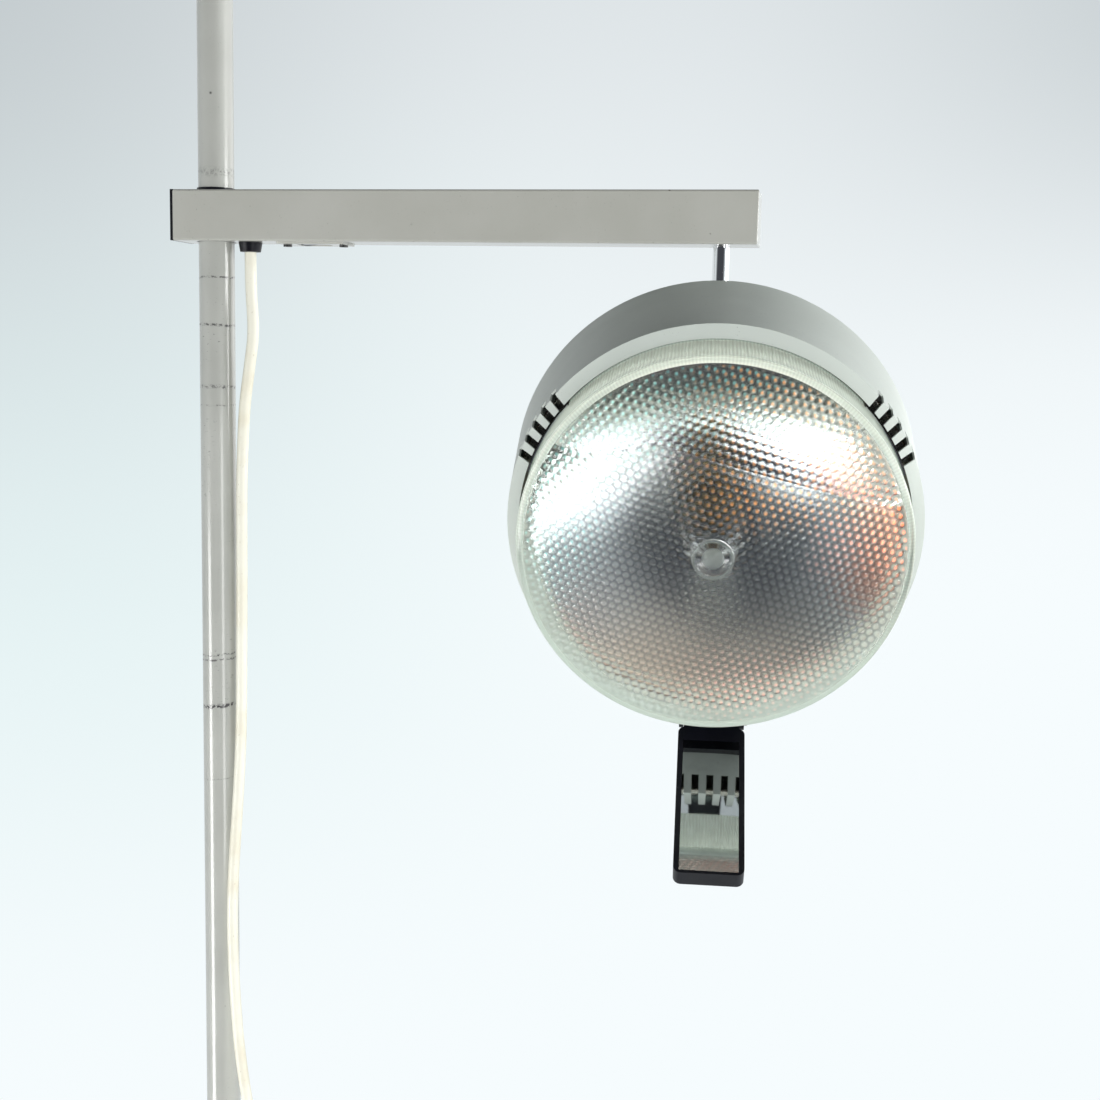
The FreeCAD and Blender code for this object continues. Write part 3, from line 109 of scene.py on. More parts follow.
class Tree:
    """A node tree that is filled from the script."""

    def __init__(self, tree):
        self.tree = tree

    def node(self, kind, settings=None, sockets=None, output=0):
        """A new node with its settings and its sockets linked or set; gives one of its outputs."""
        node = self.tree.nodes.new(kind)
        for name, setting in (settings or {}).items():
            setattr(node, name, setting)
        for name, value in (sockets or {}).items():
            if isinstance(value, Value):
                self.tree.links.new(value.socket, node.inputs[name])
            else:
                node.inputs[name].default_value = value
        return Value(self, node.outputs[output]) if node.outputs else node

    def math(self, operation, *operands):
        return self.node("ShaderNodeMath", {"operation": operation}, dict(enumerate(operands)))

    def vector_math(self, operation, *operands, output=0):
        return self.node("ShaderNodeVectorMath", {"operation": operation}, dict(enumerate(operands)), output)

    def split(self, vector):
        """The x, y and z of a vector."""
        x = self.node("ShaderNodeSeparateXYZ", None, {0: vector})
        outputs = x.socket.node.outputs
        return x, Value(self, outputs[1]), Value(self, outputs[2])

    def mix(self, factor, first, second):
        """Mixes two colours, each a link or red, green and blue."""
        first, second = (c if isinstance(c, Value) else (*c, 1) for c in (first, second))
        return self.node("ShaderNodeMix", {"data_type": "RGBA"}, {0: factor, 6: first, 7: second}, 2)


def tint(red, green, blue):
    """A colour given as it shows on screen, 0 to 255."""
    shares = (c / 255 for c in (red, green, blue))
    return tuple(c / 12.92 if c <= 0.04045 else ((c + 0.055) / 1.055) ** 2.4 for c in shares)


# Places that several pieces share: the arm's axis, the head's axis and the mirror's.
ARM_HEIGHT = 1.4
HEAD_YAW = math.radians(5.2)
HEAD_ORIGIN = Vector((354.859, 12.539, 1227.869)) * MM
HEAD_TURN = Euler((math.radians(103.4), 0, HEAD_YAW))
HEAD_PLACE = Matrix.Translation(HEAD_ORIGIN) @ HEAD_TURN.to_matrix().to_4x4()
MIRROR_ORIGIN = Vector((360.508, 3.423, 1061.004)) * MM
MIRROR_TURN = Euler((math.radians(128), 0, HEAD_YAW))

# Sizes of the lens, in millimetres, that its mesh and its material share. Heights are along the head's axis.
LENS_RADIUS = 118.7
LENS_APEX = 155.6
LENS_DOME = 510.203
LENS_THICKNESS = 3.0
LENS_RIBS = 352
FACE_RADIUS = 114.5
FACE_HOLE = 13.0
LENSLET_PITCH = 5.1
LENSLET_TURN = 15


# Camera, at the photograph's place.
camera = bpy.data.cameras.new("camera")
camera.sensor_width = 36
camera.lens = 48.659
camera.clip_start = 0.02
camera_object = bpy.data.objects.new("camera", camera)
scene.collection.objects.link(camera_object)
CAMERA_RIGHT = Vector((0.98162, 0.18968, 0.02110))
CAMERA_UP = Vector((-0.04557, 0.12561, 0.99103))
CAMERA_AHEAD = Vector((-0.18533, 0.97378, -0.13194))
turn = Matrix((CAMERA_RIGHT, CAMERA_UP, -CAMERA_AHEAD)).transposed()
camera_object.matrix_world = Matrix.Translation((0.43634, -1.00709, 1.31051)) @ turn.to_4x4()
scene.camera = camera_object


# Cord: the route of its tube, and a spline with those points.
CORD_DIAMETER = 8.2 * MM
CORD_POINTS = [
    (25.3, 0, 1375.8),
    (25.3, 0, 1350),
    (27.8, -0.3, 1321),
    (24.4, -0.6, 1296),
    (20.9, -1.0, 1271),
    (19.4, -1.5, 1245),
    (18.2, -2.0, 1205),
    (18.3, -2.3, 1150),
    (18.2, -3.5, 1084),
    (17.8, -4.4, 1024),
    (16.6, -8.0, 980),
    (14.8, -11.2, 940),
    (13.5, -13.0, 902),
    (13.7, -13.0, 864),
    (15.2, -12.4, 825),
    (18.0, -12.0, 787),
    (22.8, -12.0, 753),
    (30.0, -12.6, 715),
    (43.0, -14.4, 650),
    (62.0, -17.0, 560),
    (86.0, -20.0, 460),
    (113.0, -23.8, 368),
    (142.0, -28.2, 286),
    (171.0, -33.0, 210),
    (195.0, -37.4, 143),
    (214.0, -41.2, 88),
    (230.0, -44.6, 51),
    (247.0, -47.6, 26),
    (266.0, -49.4, 11),
    (285.0, -50.0, 5.1),
    (301.8, -50.0, 5.1),
]
CORD_END = (301.8, 70.0, 14.9)
CORD_PARTING_HEIGHT = 1.02
COIL_CENTRE = (310, 10)
COIL_QUARTERS = 22
POINTS_PER_QUARTER = 4


def coil_point(quarter):
    """A point of the coil, which winds in over ten quarter turns, climbs a layer and winds out again."""
    radius = 60 - 2.5 * min(quarter, 10) + 2.5 * max(quarter - 12, 0)
    radius /= math.cos(math.pi / 16)
    climb = min(max(quarter - 10, 0), 2) / 2
    angle = math.radians(90 * quarter - 90)
    return (
        COIL_CENTRE[0] + radius * math.cos(angle),
        COIL_CENTRE[1] + radius * math.sin(angle),
        5.1 + 9.8 * climb * climb * (3 - 2 * climb),
    )


def spline_points(points):
    """The points along a smooth spline that has the given points as its control points."""
    curve = bpy.data.curves.new("cord_route", "CURVE")
    curve.dimensions = "3D"
    spline = curve.splines.new("NURBS")
    spline.points.add(len(points) - 1)
    for point, place in zip(spline.points, points):
        point.co = (*(c * MM for c in place), 1)
    spline.order_u = 3
    spline.use_endpoint_u = True
    spline.resolution_u = 8
    route = bpy.data.objects.new("cord_route", curve)
    scene.collection.objects.link(route)
    mesh = bpy.data.meshes.new_from_object(route.evaluated_get(bpy.context.evaluated_depsgraph_get()))
    line = [vertex.co.copy() for vertex in mesh.vertices]
    bpy.data.objects.remove(route)
    bpy.data.meshes.remove(mesh)
    return line


def finished_mesh(shell, name):
    """A shell as a mesh; the shell itself is used up."""
    mesh = bpy.data.meshes.new(name)
    shell.to_mesh(mesh)
    shell.free()
    return mesh


def new_piece(name, mesh, material, body=None):
    """A finished mesh as an object that moves with a body."""
    mesh.materials.clear()
    mesh.materials.append(material)
    piece = bpy.data.objects.new(name, mesh)
    scene.collection.objects.link(piece)
    if body:
        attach(piece, body)
    return piece


def tube_mesh(name, line, radius, sides=20):
    """A closed tube along a line of points, with its length and turn as a UV map."""
    # a ring close to each end keeps the tube's shading straight up to its flat ends
    line = [line[0], line[0].lerp(line[1], 0.01), *line[1:-1], line[-1].lerp(line[-2], 0.01), line[-1]]
    shell = bmesh.new()
    uv = shell.loops.layers.uv.new("along")
    rings = []
    spots = []
    side = Vector((0, 1, 0))
    travelled = 0
    for index, place in enumerate(line):
        ahead = (line[min(index + 1, len(line) - 1)] - line[max(index - 1, 0)]).normalized()
        side = (side - ahead * side.dot(ahead)).normalized()
        other = ahead.cross(side)
        if index:
            travelled += (place - line[index - 1]).length
        ring = []
        for step in range(sides):
            angle = 2 * math.pi * step / sides
            ring.append(shell.verts.new(place + (side * math.cos(angle) + other * math.sin(angle)) * radius))
        rings.append(ring)
        spots.append(travelled)
    for index, (here, there) in enumerate(zip(rings, rings[1:])):
        for step in range(sides):
            after = (step + 1) % sides
            face = shell.faces.new((here[step], here[after], there[after], there[step]))
            face.smooth = True
            corners = ((step, index), (step + 1, index), (step + 1, index + 1), (step, index + 1))
            for loop, (turn, row) in zip(face.loops, corners):
                loop[uv].uv = (turn / sides, spots[row])
    shell.faces.new(reversed(rings[0]))
    shell.faces.new(rings[-1])
    return finished_mesh(shell, name)


def line_length(line):
    return sum((there - here).length for here, there in zip(line, line[1:]))


# Materials.
class Finish(Tree):
    """A material whose patterns lie on the object's own coordinates, in metres."""

    def __init__(self, name, place=None, turn=None):
        self.material = bpy.data.materials.new(name)
        self.material.use_nodes = True
        super().__init__(self.material.node_tree)
        self.tree.nodes.clear()
        self.place = self.node("ShaderNodeTexCoord", output="Object")
        if place is not None:
            sockets = {"Vector": self.place, "Location": place, "Rotation": turn}
            self.place = self.node("ShaderNodeMapping", {"vector_type": "TEXTURE"}, sockets)
        self.x, self.y, self.z = self.split(self.place)

    def noise(self, scale, detail=2.0, roughness=0.5, stretch=None):
        """Cloudy noise around 0.5, scale to a metre, finer along an axis that is stretched."""
        place = self.place
        if stretch:
            place = self.vector_math("MULTIPLY", place, stretch)
        sockets = {"Vector": place, "Scale": scale, "Detail": detail, "Roughness": roughness}
        return self.node("ShaderNodeTexNoise", None, sockets)

    def bump(self, height, distance, strength):
        sockets = {"Height": height, "Distance": distance, "Strength": strength}
        return self.node("ShaderNodeBump", None, sockets)

    def shader(self, **sockets):
        """A Principled shader; its sockets are named in lower case with underscores."""
        named = {}
        for key, value in sockets.items():
            named[key.replace("_", " ").title().replace("Ior", "IOR")] = value
        for name, value in named.items():
            if isinstance(value, tuple) and len(value) == 3 and name.endswith("Color"):
                named[name] = (*value, 1)
        return self.node("ShaderNodeBsdfPrincipled", None, named)

    def shown(self, shader):
        self.node("ShaderNodeOutputMaterial", None, {"Surface": shader})
        return self.material

    def principled(self, **sockets):
        return self.shown(self.shader(**sockets))


def gloss_paint(name, colour, shade, coat, shine=0.5, wear=None, wear_colour=None, peel=0.00006):
    """Sprayed gloss paint: clouded a little, with orange peel; wear(finish) gives a mask of worn spots."""
    finish = Finish(name)
    clouds = finish.noise(14, 4)
    colour = finish.mix(clouds.step(0.35, 0.7), colour, shade)
    specks = finish.noise(900, 1).step(0.70, 0.76) * finish.noise(60).step(0.45, 0.65)
    colour = finish.mix(specks * 0.35, colour, tint(96, 96, 92))
    roughness = 0.30 + finish.noise(45, 3) * 0.14
    height = finish.noise(420, 2)
    if wear:
        bare = wear(finish)
        colour = finish.mix(bare, colour, wear_colour)
        roughness = roughness + bare * 0.2
        height = height - bare * 1.5
    normal = finish.bump(height, peel, 0.5)
    return finish.principled(
        base_color=colour,
        roughness=roughness,
        specular_ior_level=shine,
        normal=normal,
        coat_weight=coat,
        coat_roughness=0.08,
    )


def arm_wear(finish):
    """Chips along the arm's long edges and at its ends."""
    side = abs(finish.y)
    rise = abs(finish.z - ARM_HEIGHT)
    edge = side.math("MINIMUM", rise).step(0.0160, 0.0172)
    ends = (finish.x < -0.0235) + (finish.x > 0.3780)
    chips = finish.noise(130, 3, 0.6).step(0.655, 0.67) * finish.noise(22).step(0.5, 0.6)
    fine = finish.noise(520, 2).step(0.66, 0.7) * 0.8
    spots = finish.noise(240, 2).step(0.745, 0.76) * finish.noise(16).step(0.55, 0.6)
    return (edge * (chips + fine * 0.6) + ends * edge * fine + spots * 0.5).math("MINIMUM", 1)


def pole_wear(finish):
    """Broken rings that the arm's sleeve has rubbed into the paint, scuffs between them and one black dot."""
    waver = (finish.noise(70, 2) - 0.5) * 0.003
    slant = finish.x * (finish.z < 1.15) * 0.09
    height = finish.z + waver - slant
    specks = finish.noise(900, 2, 0.6).step(0.56, 0.62)
    lines = 0
    # a ring's height on the pole, its half width and how dark it is
    for level, width, depth in (
        (1.4300, 0.0050, 0.35),
        (1.3580, 0.0012, 0.9),
        (1.3245, 0.0014, 1.0),
        (1.2810, 0.0022, 0.8),
        (1.2680, 0.0010, 0.5),
        (1.0870, 0.0012, 0.8),
        (1.0835, 0.0012, 0.9),
        (1.0490, 0.0022, 1.6),
        (0.9940, 0.0008, 0.4),
    ):
        lines = height.near(level, width) * depth + lines
    broken = finish.noise(420, 3, 0.7).step(0.46, 0.58)
    used = finish.z.step(1.00, 1.06) * (1 - finish.z.step(1.34, 1.37))
    scuffs = finish.noise(300, 3, 0.6, (1, 1, 3)).step(0.64, 0.70) * finish.noise(18).step(0.48, 0.60)
    scuffs = scuffs * used
    dot = finish.z.near(1.4830, 0.0014) * finish.x.near(0.0017, 0.0014) * (finish.y < 0)
    return (lines * (broken + specks * 0.5) + scuffs * 0.55 + dot).math("MINIMUM", 1)


def plain_plastic(name, colour, shade, roughness, grain, shine=0.5):
    """Moulded plastic or rubber with a fine grain and slightly worn patches."""
    finish = Finish(name)
    worn = finish.noise(38, 4)
    normal = finish.bump(finish.noise(grain, 2), 0.00005, 0.4)
    return finish.principled(
        base_color=finish.mix(worn.step(0.35, 0.75), colour, shade),
        roughness=roughness + finish.noise(90, 3) * 0.2,
        specular_ior_level=shine,
        normal=normal,
    )


def plain_metal(name, colour, shade, roughness):
    """Bare or plated metal with smears and fine unevenness."""
    finish = Finish(name)
    streaks = finish.noise(240, 3, 0.6)
    smears = finish.noise(40, 3)
    return finish.principled(
        base_color=finish.mix(smears.step(0.35, 0.7), colour, shade),
        metallic=1.0,
        roughness=roughness + streaks * roughness * 0.8,
        normal=finish.bump(streaks, 0.00002, 0.3),
    )


def cord_sheath():
    """Ivory cord with a little grime."""
    finish = Finish("cord_sheath")
    grime = finish.noise(26, 4)
    specks = finish.noise(420, 2).step(0.68, 0.74)
    colour = finish.mix(grime.step(0.45, 0.75), tint(240, 239, 224), tint(229, 224, 203))
    colour = finish.mix(specks * 0.3, colour, tint(168, 156, 128))
    return finish.principled(
        base_color=colour,
        roughness=0.32 + grime * 0.16,
        normal=finish.bump(finish.noise(160, 3, 0.6), 0.0003, 0.25),
        coat_weight=0.15,
    )


def reflector_metal():
    """Bright coated bowl with painted coloured reflections: cyan to the upper left, orange to the right and
    pale warm below; its rim is painted dark as shade.
    """
    finish = Finish("reflector_metal", HEAD_ORIGIN, HEAD_TURN)
    across, up = finish.x, finish.y
    reach = (across * across + up * up).math("SQRT")
    drift = finish.noise(16, 3)
    colour = finish.mix(drift.step(0.35, 0.7), (0.90, 0.91, 0.91), (0.82, 0.84, 0.85))
    # painted reflections: a cyan tint to the upper left, an orange tint to the right and a pale warm tint
    # below
    painted_cyan = (drift * 0.02 + reach).step(0.055, 0.100) * (up - across).step(0.03, 0.11)
    colour = finish.mix(painted_cyan * 0.25, colour, (0.70, 0.88, 0.88))
    side = (drift * 0.02 + reach).step(0.080, 0.118) * across.step(0.055, 0.095)
    painted_orange = side * (1 - (drift * 0.02 + up).step(0.028, 0.052)) * (up + 0.07).step(0, 0.03)
    colour = finish.mix(painted_orange * 0.9, colour, (0.90, 0.50, 0.40))
    low = reach.step(0.065, 0.110) * (0 - up).step(0.03, 0.10)
    colour = finish.mix(low * 0.4, colour, (0.94, 0.82, 0.70))
    # painted shade: the rolled rim is darkened to near black
    rim = reach.step(0.1158, 0.1162)
    colour = finish.mix(rim, colour, (0.10, 0.085, 0.07))
    return finish.principled(
        base_color=colour,
        metallic=1.0,
        roughness=0.06 + drift * 0.06,
        normal=finish.bump(finish.noise(260, 2), 0.00003, 0.25),
    )


def lens_glass():
    """Clear pressed lens with painted shade between its lenslets and painted coloured glints on them, which
    glow; the rim, wall and lower edge are milky and glow with painted light.
    """
    finish = Finish("lens_glass", HEAD_ORIGIN, HEAD_TURN)
    reach = (finish.x * finish.x + finish.y * finish.y).math("SQRT")
    frost = (1 - reach.step(0.0064, 0.0070)) * finish.z.step(0.1505, 0.1515)
    grime = finish.noise(60, 3).step(0.5, 0.8)
    colour = finish.mix(grime * 0.5, (0.97, 0.985, 0.975), (0.94, 0.96, 0.93))

    def lenslets(over, up):
        """The lenslets' net as a hilly pattern, moved by a part of a lenslet."""
        waves = 2 * math.pi * 2 / math.sqrt(3) / (LENSLET_PITCH * MM)
        hills = 0
        for degrees in (0, 60, 120):
            turn = math.radians(LENSLET_TURN + degrees)
            along = (finish.x - over) * math.cos(turn) + (finish.y - up) * math.sin(turn)
            hills = (along * waves).math("COSINE") + hills
        return hills

    face = reach.step(0.013, 0.020) * (1 - reach.step(0.1125, 0.1140)) * finish.z.step(0.139, 0.1405)
    drift = finish.noise(22, 2) * 0.04
    right = finish.x + drift
    upper = finish.y + drift
    # painted shade in the valleys between the lenslets; dots and rings mark where coloured glints are painted
    painted_valleys = 1 - lenslets(0, 0).step(-1.3, 0.7)
    dots = lenslets(0.0006, -0.0006).step(0.8, 2.6) * face
    rings = lenslets(-0.0006, 0.0007).step(0.8, 2.6) * face
    # where glints are painted: orange to the upper right, red far right, cyan to the upper left, rosy below
    painted_orange = right.step(-0.01, 0.05) * upper.step(0.03, 0.06)
    red = right.step(0.07, 0.115) * upper.step(0.0, 0.03) * (1 - upper.step(0.05, 0.08))
    painted_cyan = (upper - right).step(0.03, 0.10) * reach.step(0.05, 0.085)
    rosy = (0 - upper).step(0.02, 0.08) * (right + 0.02).step(0, 0.07)
    # painted shade in the valleys, and painted orange and cyan glint tints, in the glass's colour
    colour = finish.mix(painted_valleys * face * 0.6, colour, (0.42, 0.46, 0.50))
    colour = finish.mix(painted_orange * dots * 0.6, colour, (1.0, 0.56, 0.30))
    colour = finish.mix(painted_cyan * rings * 0.4, colour, (0.55, 0.96, 0.94))
    # painted glints: coloured dots that glow through the emission
    painted_glints = finish.mix(painted_orange * dots, (0, 0, 0), (0.36, 0.17, 0.06))
    painted_glints = finish.mix(red * dots, painted_glints, (0.75, 0.18, 0.07))
    painted_glints = finish.mix(painted_cyan * rings * 0.5, painted_glints, (0.08, 0.26, 0.26))
    painted_glints = finish.mix(rosy * dots * 0.8, painted_glints, (0.34, 0.13, 0.10))
    clear = finish.shader(
        base_color=colour,
        roughness=0.015 + grime * 0.02 + frost * 0.4,
        transmission_weight=1.0,
        ior=1.47,
        emission_color=painted_glints,
        emission_strength=1.0,
    )
    foot = 1 - reach.step(0.1192, 0.1196)
    wall = reach.step(0.1168, 0.1174) * (1 - finish.z.step(0.1400, 0.1410)) * foot
    inside = reach.step(0.1150, 0.1155) * (1 - reach.step(0.1165, 0.1170))
    inside = inside * (1 - finish.z.step(0.1355, 0.1380))
    rim = reach.step(0.1141, 0.1149) * finish.z.step(0.1385, 0.1400)
    # painted light: the milky parts glow, lighter and darker by rib, lighter inside, dim at the lower left
    # edge
    ribs = (finish.y.math("ARCTAN2", finish.x) * LENS_RIBS).math("COSINE") * 0.5 + 0.5
    painted_glow = finish.mix(ribs, tint(72, 80, 75), tint(122, 134, 126))
    painted_glow = finish.mix(inside, painted_glow, tint(184, 178, 167))
    lower_left = (0 - finish.y - finish.x * 0.35).step(0.01, 0.07)
    haze = reach.step(0.098, 0.111) * lower_left * finish.z.step(0.137, 0.139)
    painted_glow = finish.mix(haze, painted_glow, tint(70, 73, 68))
    boss = reach.step(0.0102, 0.0108) * (1 - reach.step(0.0124, 0.0127)) * finish.z.step(0.1562, 0.1566)
    milky = finish.shader(
        base_color=tint(198, 212, 205),
        roughness=0.4,
        transmission_weight=0.6,
        ior=1.3,
        coat_weight=0.4,
        emission_color=painted_glow,
        emission_strength=1.0,
    )
    cloud = wall * 0.6 + inside * 0.65 + rim * 0.45 + haze * 0.55 + frost * 0.14 + boss * 0.25
    cloud = cloud.math("MINIMUM", 1)
    return finish.shown(finish.node("ShaderNodeMixShader", None, {0: cloud, 1: clear, 2: milky}))


def clear_glass(name, colour):
    """Thin clear glass."""
    finish = Finish(name)
    return finish.principled(
        base_color=finish.mix(finish.noise(40).step(0.4, 0.7), colour, (0.92, 0.93, 0.92)),
        roughness=0.02 + finish.noise(30, 2) * 0.03,
        transmission_weight=1.0,
        ior=1.47,
    )


def mirror_silver():
    """Old silvered glass, smeared and with a few scratches."""
    finish = Finish("mirror_silver", MIRROR_ORIGIN, MIRROR_TURN)
    smears = finish.noise(70, 4, 0.6)
    scratches = finish.noise(300, 2, 0.5, (1, 0.05, 1)).step(0.72, 0.75)
    return finish.principled(
        base_color=finish.mix(smears.step(0.4, 0.8), (0.50, 0.53, 0.53), (0.42, 0.45, 0.45)),
        metallic=1.0,
        roughness=0.02 + smears * 0.05 + scratches * 0.2,
    )


GREY = tint(182, 184, 178)
GREY_SHADE = tint(172, 174, 168)
ARM_GREY = tint(184, 185, 178)
ARM_SHADE = tint(177, 178, 170)
BLACK = tint(13, 14, 20)
finishes = {
    "pole_paint": gloss_paint("pole_paint", GREY, GREY_SHADE, 0.8, 0.5, pole_wear, tint(62, 60, 62), 0.00014),
    "arm_paint": gloss_paint("arm_paint", ARM_GREY, ARM_SHADE, 0.8, 0.5, arm_wear, tint(86, 78, 70)),
    "head_paint": gloss_paint("head_paint", tint(219, 227, 220), tint(212, 220, 213), 0.0, 0.1),
    "base_paint": gloss_paint("base_paint", GREY, tint(164, 166, 160), 0.3),
    "socket_paint": gloss_paint("socket_paint", GREY, GREY_SHADE, 0.3),
    "rubber": plain_plastic("rubber", tint(40, 40, 40), tint(54, 53, 52), 0.6, 700),
    "black_plastic": plain_plastic("black_plastic", BLACK, tint(20, 21, 29), 0.30, 900, 0.25),
    "cord_ivory": cord_sheath(),
    "wiring": plain_plastic("wiring", tint(222, 220, 212), tint(206, 203, 192), 0.4, 500),
    "chrome": plain_metal("chrome", (0.86, 0.87, 0.88), (0.78, 0.79, 0.80), 0.05),
    "steel": plain_metal("steel", (0.62, 0.62, 0.60), (0.50, 0.50, 0.48), 0.22),
    "dark_steel": plain_metal("dark_steel", (0.09, 0.09, 0.09), (0.05, 0.05, 0.05), 0.3),
    "nylon": plain_plastic("nylon", tint(226, 224, 214), tint(210, 206, 194), 0.45, 400),
    "reflector": reflector_metal(),
    "lens_clear": lens_glass(),
    "bulb_clear": clear_glass("bulb_clear", (0.97, 0.97, 0.97)),
    "brass": plain_metal("brass", (0.80, 0.62, 0.33), (0.62, 0.46, 0.24), 0.2),
    "ceramic": plain_plastic("ceramic", tint(232, 230, 222), tint(218, 214, 204), 0.15, 300),
    "mirror": mirror_silver(),
}
for row in frame["record"]["subparts"]:
    mesh = frame["nodes"][row["node"]].data
    mesh.materials.clear()
    mesh.materials.append(finishes[row["material_slot"]])


# The cord in two lengths, parted where it drops below a height.
coil_steps = range(1, POINTS_PER_QUARTER * COIL_QUARTERS + 1)
coil = [coil_point(step / POINTS_PER_QUARTER) for step in coil_steps]
cord_line = spline_points(CORD_POINTS + coil + [CORD_END])
parting = next(index for index, place in enumerate(cord_line) if place.z < CORD_PARTING_HEIGHT)
upper_line = cord_line[: parting + 1]
lower_line = cord_line[parting:]
upper_mesh = tube_mesh("cord_upper", upper_line, CORD_DIAMETER / 2)
lower_mesh = tube_mesh("cord_lower", lower_line, CORD_DIAMETER / 2)
cord_upper = new_piece("cord_upper", upper_mesh, finishes["cord_ivory"])
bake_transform(cord_upper)
cord_lower = new_piece("cord_lower", lower_mesh, finishes["cord_ivory"])
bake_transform(cord_lower)
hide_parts("cord_drop", "cord_coil")
line_length(upper_line)
line_length(lower_line)


# Shapes made by Geometry Nodes.
class Shape(Tree):
    """A Geometry Nodes tree with named sizes, whose result is taken as a plain mesh."""

    def __init__(self, name, material, **sizes):
        super().__init__(bpy.data.node_groups.new(name, "GeometryNodeTree"))
        self.name = name
        self.material = material
        self.sizes = sizes
        for size, value in sizes.items():
            whole = isinstance(value, int)
            kind = "NodeSocketInt" if whole else "NodeSocketFloat"
            self.tree.interface.new_socket(size, in_out="INPUT", socket_type=kind)
        self.tree.interface.new_socket("Geometry", in_out="OUTPUT", socket_type="NodeSocketGeometry")
        entry = self.tree.nodes.new("NodeGroupInput")
        for index, size in enumerate(sizes):
            setattr(self, size, Value(self, entry.outputs[index]))

    def grid(self, wide, high, across, up):
        sockets = {"Size X": wide, "Size Y": high, "Vertices X": across, "Vertices Y": up}
        return self.node("GeometryNodeMeshGrid", None, sockets)

    def position(self):
        return self.split(self.node("GeometryNodeInputPosition"))

    def combined(self, x, y, z):
        return self.node("ShaderNodeCombineXYZ", None, {0: x, 1: y, 2: z})

    def moved(self, geometry, x, y, z):
        sockets = {"Geometry": geometry, "Position": self.combined(x, y, z)}
        return self.node("GeometryNodeSetPosition", None, sockets)

    def mesh(self, geometry):
        whole = self.node("GeometryNodeRealizeInstances", None, {"Geometry": geometry})
        sockets = {"Geometry": whole, "Material": self.material}
        dressed = self.node("GeometryNodeSetMaterial", None, sockets)
        self.node("NodeGroupOutput", None, {"Geometry": dressed})
        holder = bpy.data.objects.new(self.name, bpy.data.meshes.new(self.name))
        scene.collection.objects.link(holder)
        modifier = holder.modifiers.new(self.name, "NODES")
        modifier.node_group = self.tree
        for item in self.tree.interface.items_tree:
            if item.in_out == "INPUT":
                modifier[item.identifier] = self.sizes[item.name]
        depsgraph = bpy.context.evaluated_depsgraph_get()
        mesh = bpy.data.meshes.new_from_object(holder.evaluated_get(depsgraph))
        holder.modifiers.remove(modifier)
        bpy.data.objects.remove(holder)
        return mesh


POINTS_PER_LENSLET = 5
CORNER_AWAY = 8.34
POINTS_PER_RIB = 6
BETWEEN_RIM_AND_HOLE = 60
WALL_MIDDLE = 0.12


def lens_face_mesh(material):
    """The lens's domed face: a triangular net of points, several to a lenslet, trimmed to a ring."""
    shape = Shape(
        "lens_face",
        material,
        radius=FACE_RADIUS * MM,
        middle=FACE_HOLE * MM,
        apex=LENS_APEX * MM,
        dome=LENS_DOME * MM,
        spacing=LENSLET_PITCH / POINTS_PER_LENSLET * MM,
        depth=0.95 * MM,
        count=401,
    )
    side = shape.count - 1
    grid = shape.grid(side, side, shape.count, shape.count)
    slant = math.sqrt(3) / 2
    x, y, _ = shape.position()
    flat = shape.moved(grid, (x + y * 0.5) * shape.spacing, y * slant * shape.spacing, 0)
    x, y, _ = shape.position()
    reach = (x * x + y * y).math("SQRT")
    outside = (reach > shape.radius) + (reach < shape.middle)
    sockets = {"Geometry": flat, "Selection": outside}
    ring = shape.node("GeometryNodeDeleteGeometry", {"domain": "POINT"}, sockets)
    row = y / (shape.spacing * slant)
    column = x / shape.spacing - row * 0.5
    row = row.math("ROUND").math("FLOORED_MODULO", POINTS_PER_LENSLET)
    column = column.math("ROUND").math("FLOORED_MODULO", POINTS_PER_LENSLET)
    # squared distance, in net steps, to the nearest lenslet's middle
    nearest = None
    for over in (0, POINTS_PER_LENSLET):
        for up in (0, POINTS_PER_LENSLET):
            a = column - over
            b = row - up
            away = a * a + b * b + a * b
            nearest = nearest.math("MINIMUM", away) if nearest else away
    sink = (nearest / CORNER_AWAY).math("MINIMUM", 1) * shape.depth
    faded = (1 - reach.step(shape.radius - 1.6 * MM, shape.radius - 0.8 * MM)) * (
        reach.step(shape.middle + 0.8 * MM, shape.middle + 1.6 * MM)
    )
    skin = (shape.dome * shape.dome - reach * reach).math("SQRT") - shape.dome + shape.apex
    return shape.mesh(shape.moved(ring, x, y, skin - sink * faded))


def lens_rib_mesh(material):
    """The lens's wall: a band of fine upright ribs."""
    shape = Shape(
        "lens_ribs",
        material,
        radius=LENS_RADIUS * MM,
        depth=0.75 * MM,
        low=101.8 * MM,
        high=140.0 * MM,
        ribs=LENS_RIBS,
    )
    grid = shape.grid(1.0, 1.0, shape.ribs * POINTS_PER_RIB + 1, 5)
    x, y, _ = shape.position()
    angle = (x + 0.5) * (2 * math.pi)
    share = y + 0.5
    wave = 0.5 - (angle * shape.ribs).math("COSINE") * 0.5
    ends = share.step(0.0, 0.05) * (1 - share.step(0.94, 1.0))
    reach = shape.radius - wave * shape.depth * ends
    height = shape.low + (shape.high - shape.low) * share.math("SINE") / math.sin(1)
    band = shape.moved(grid, reach * angle.math("COSINE"), reach * angle.math("SINE"), height)
    joined = shape.node("GeometryNodeMergeByDistance", None, {"Geometry": band, "Distance": 0.00002})
    return shape.mesh(joined)


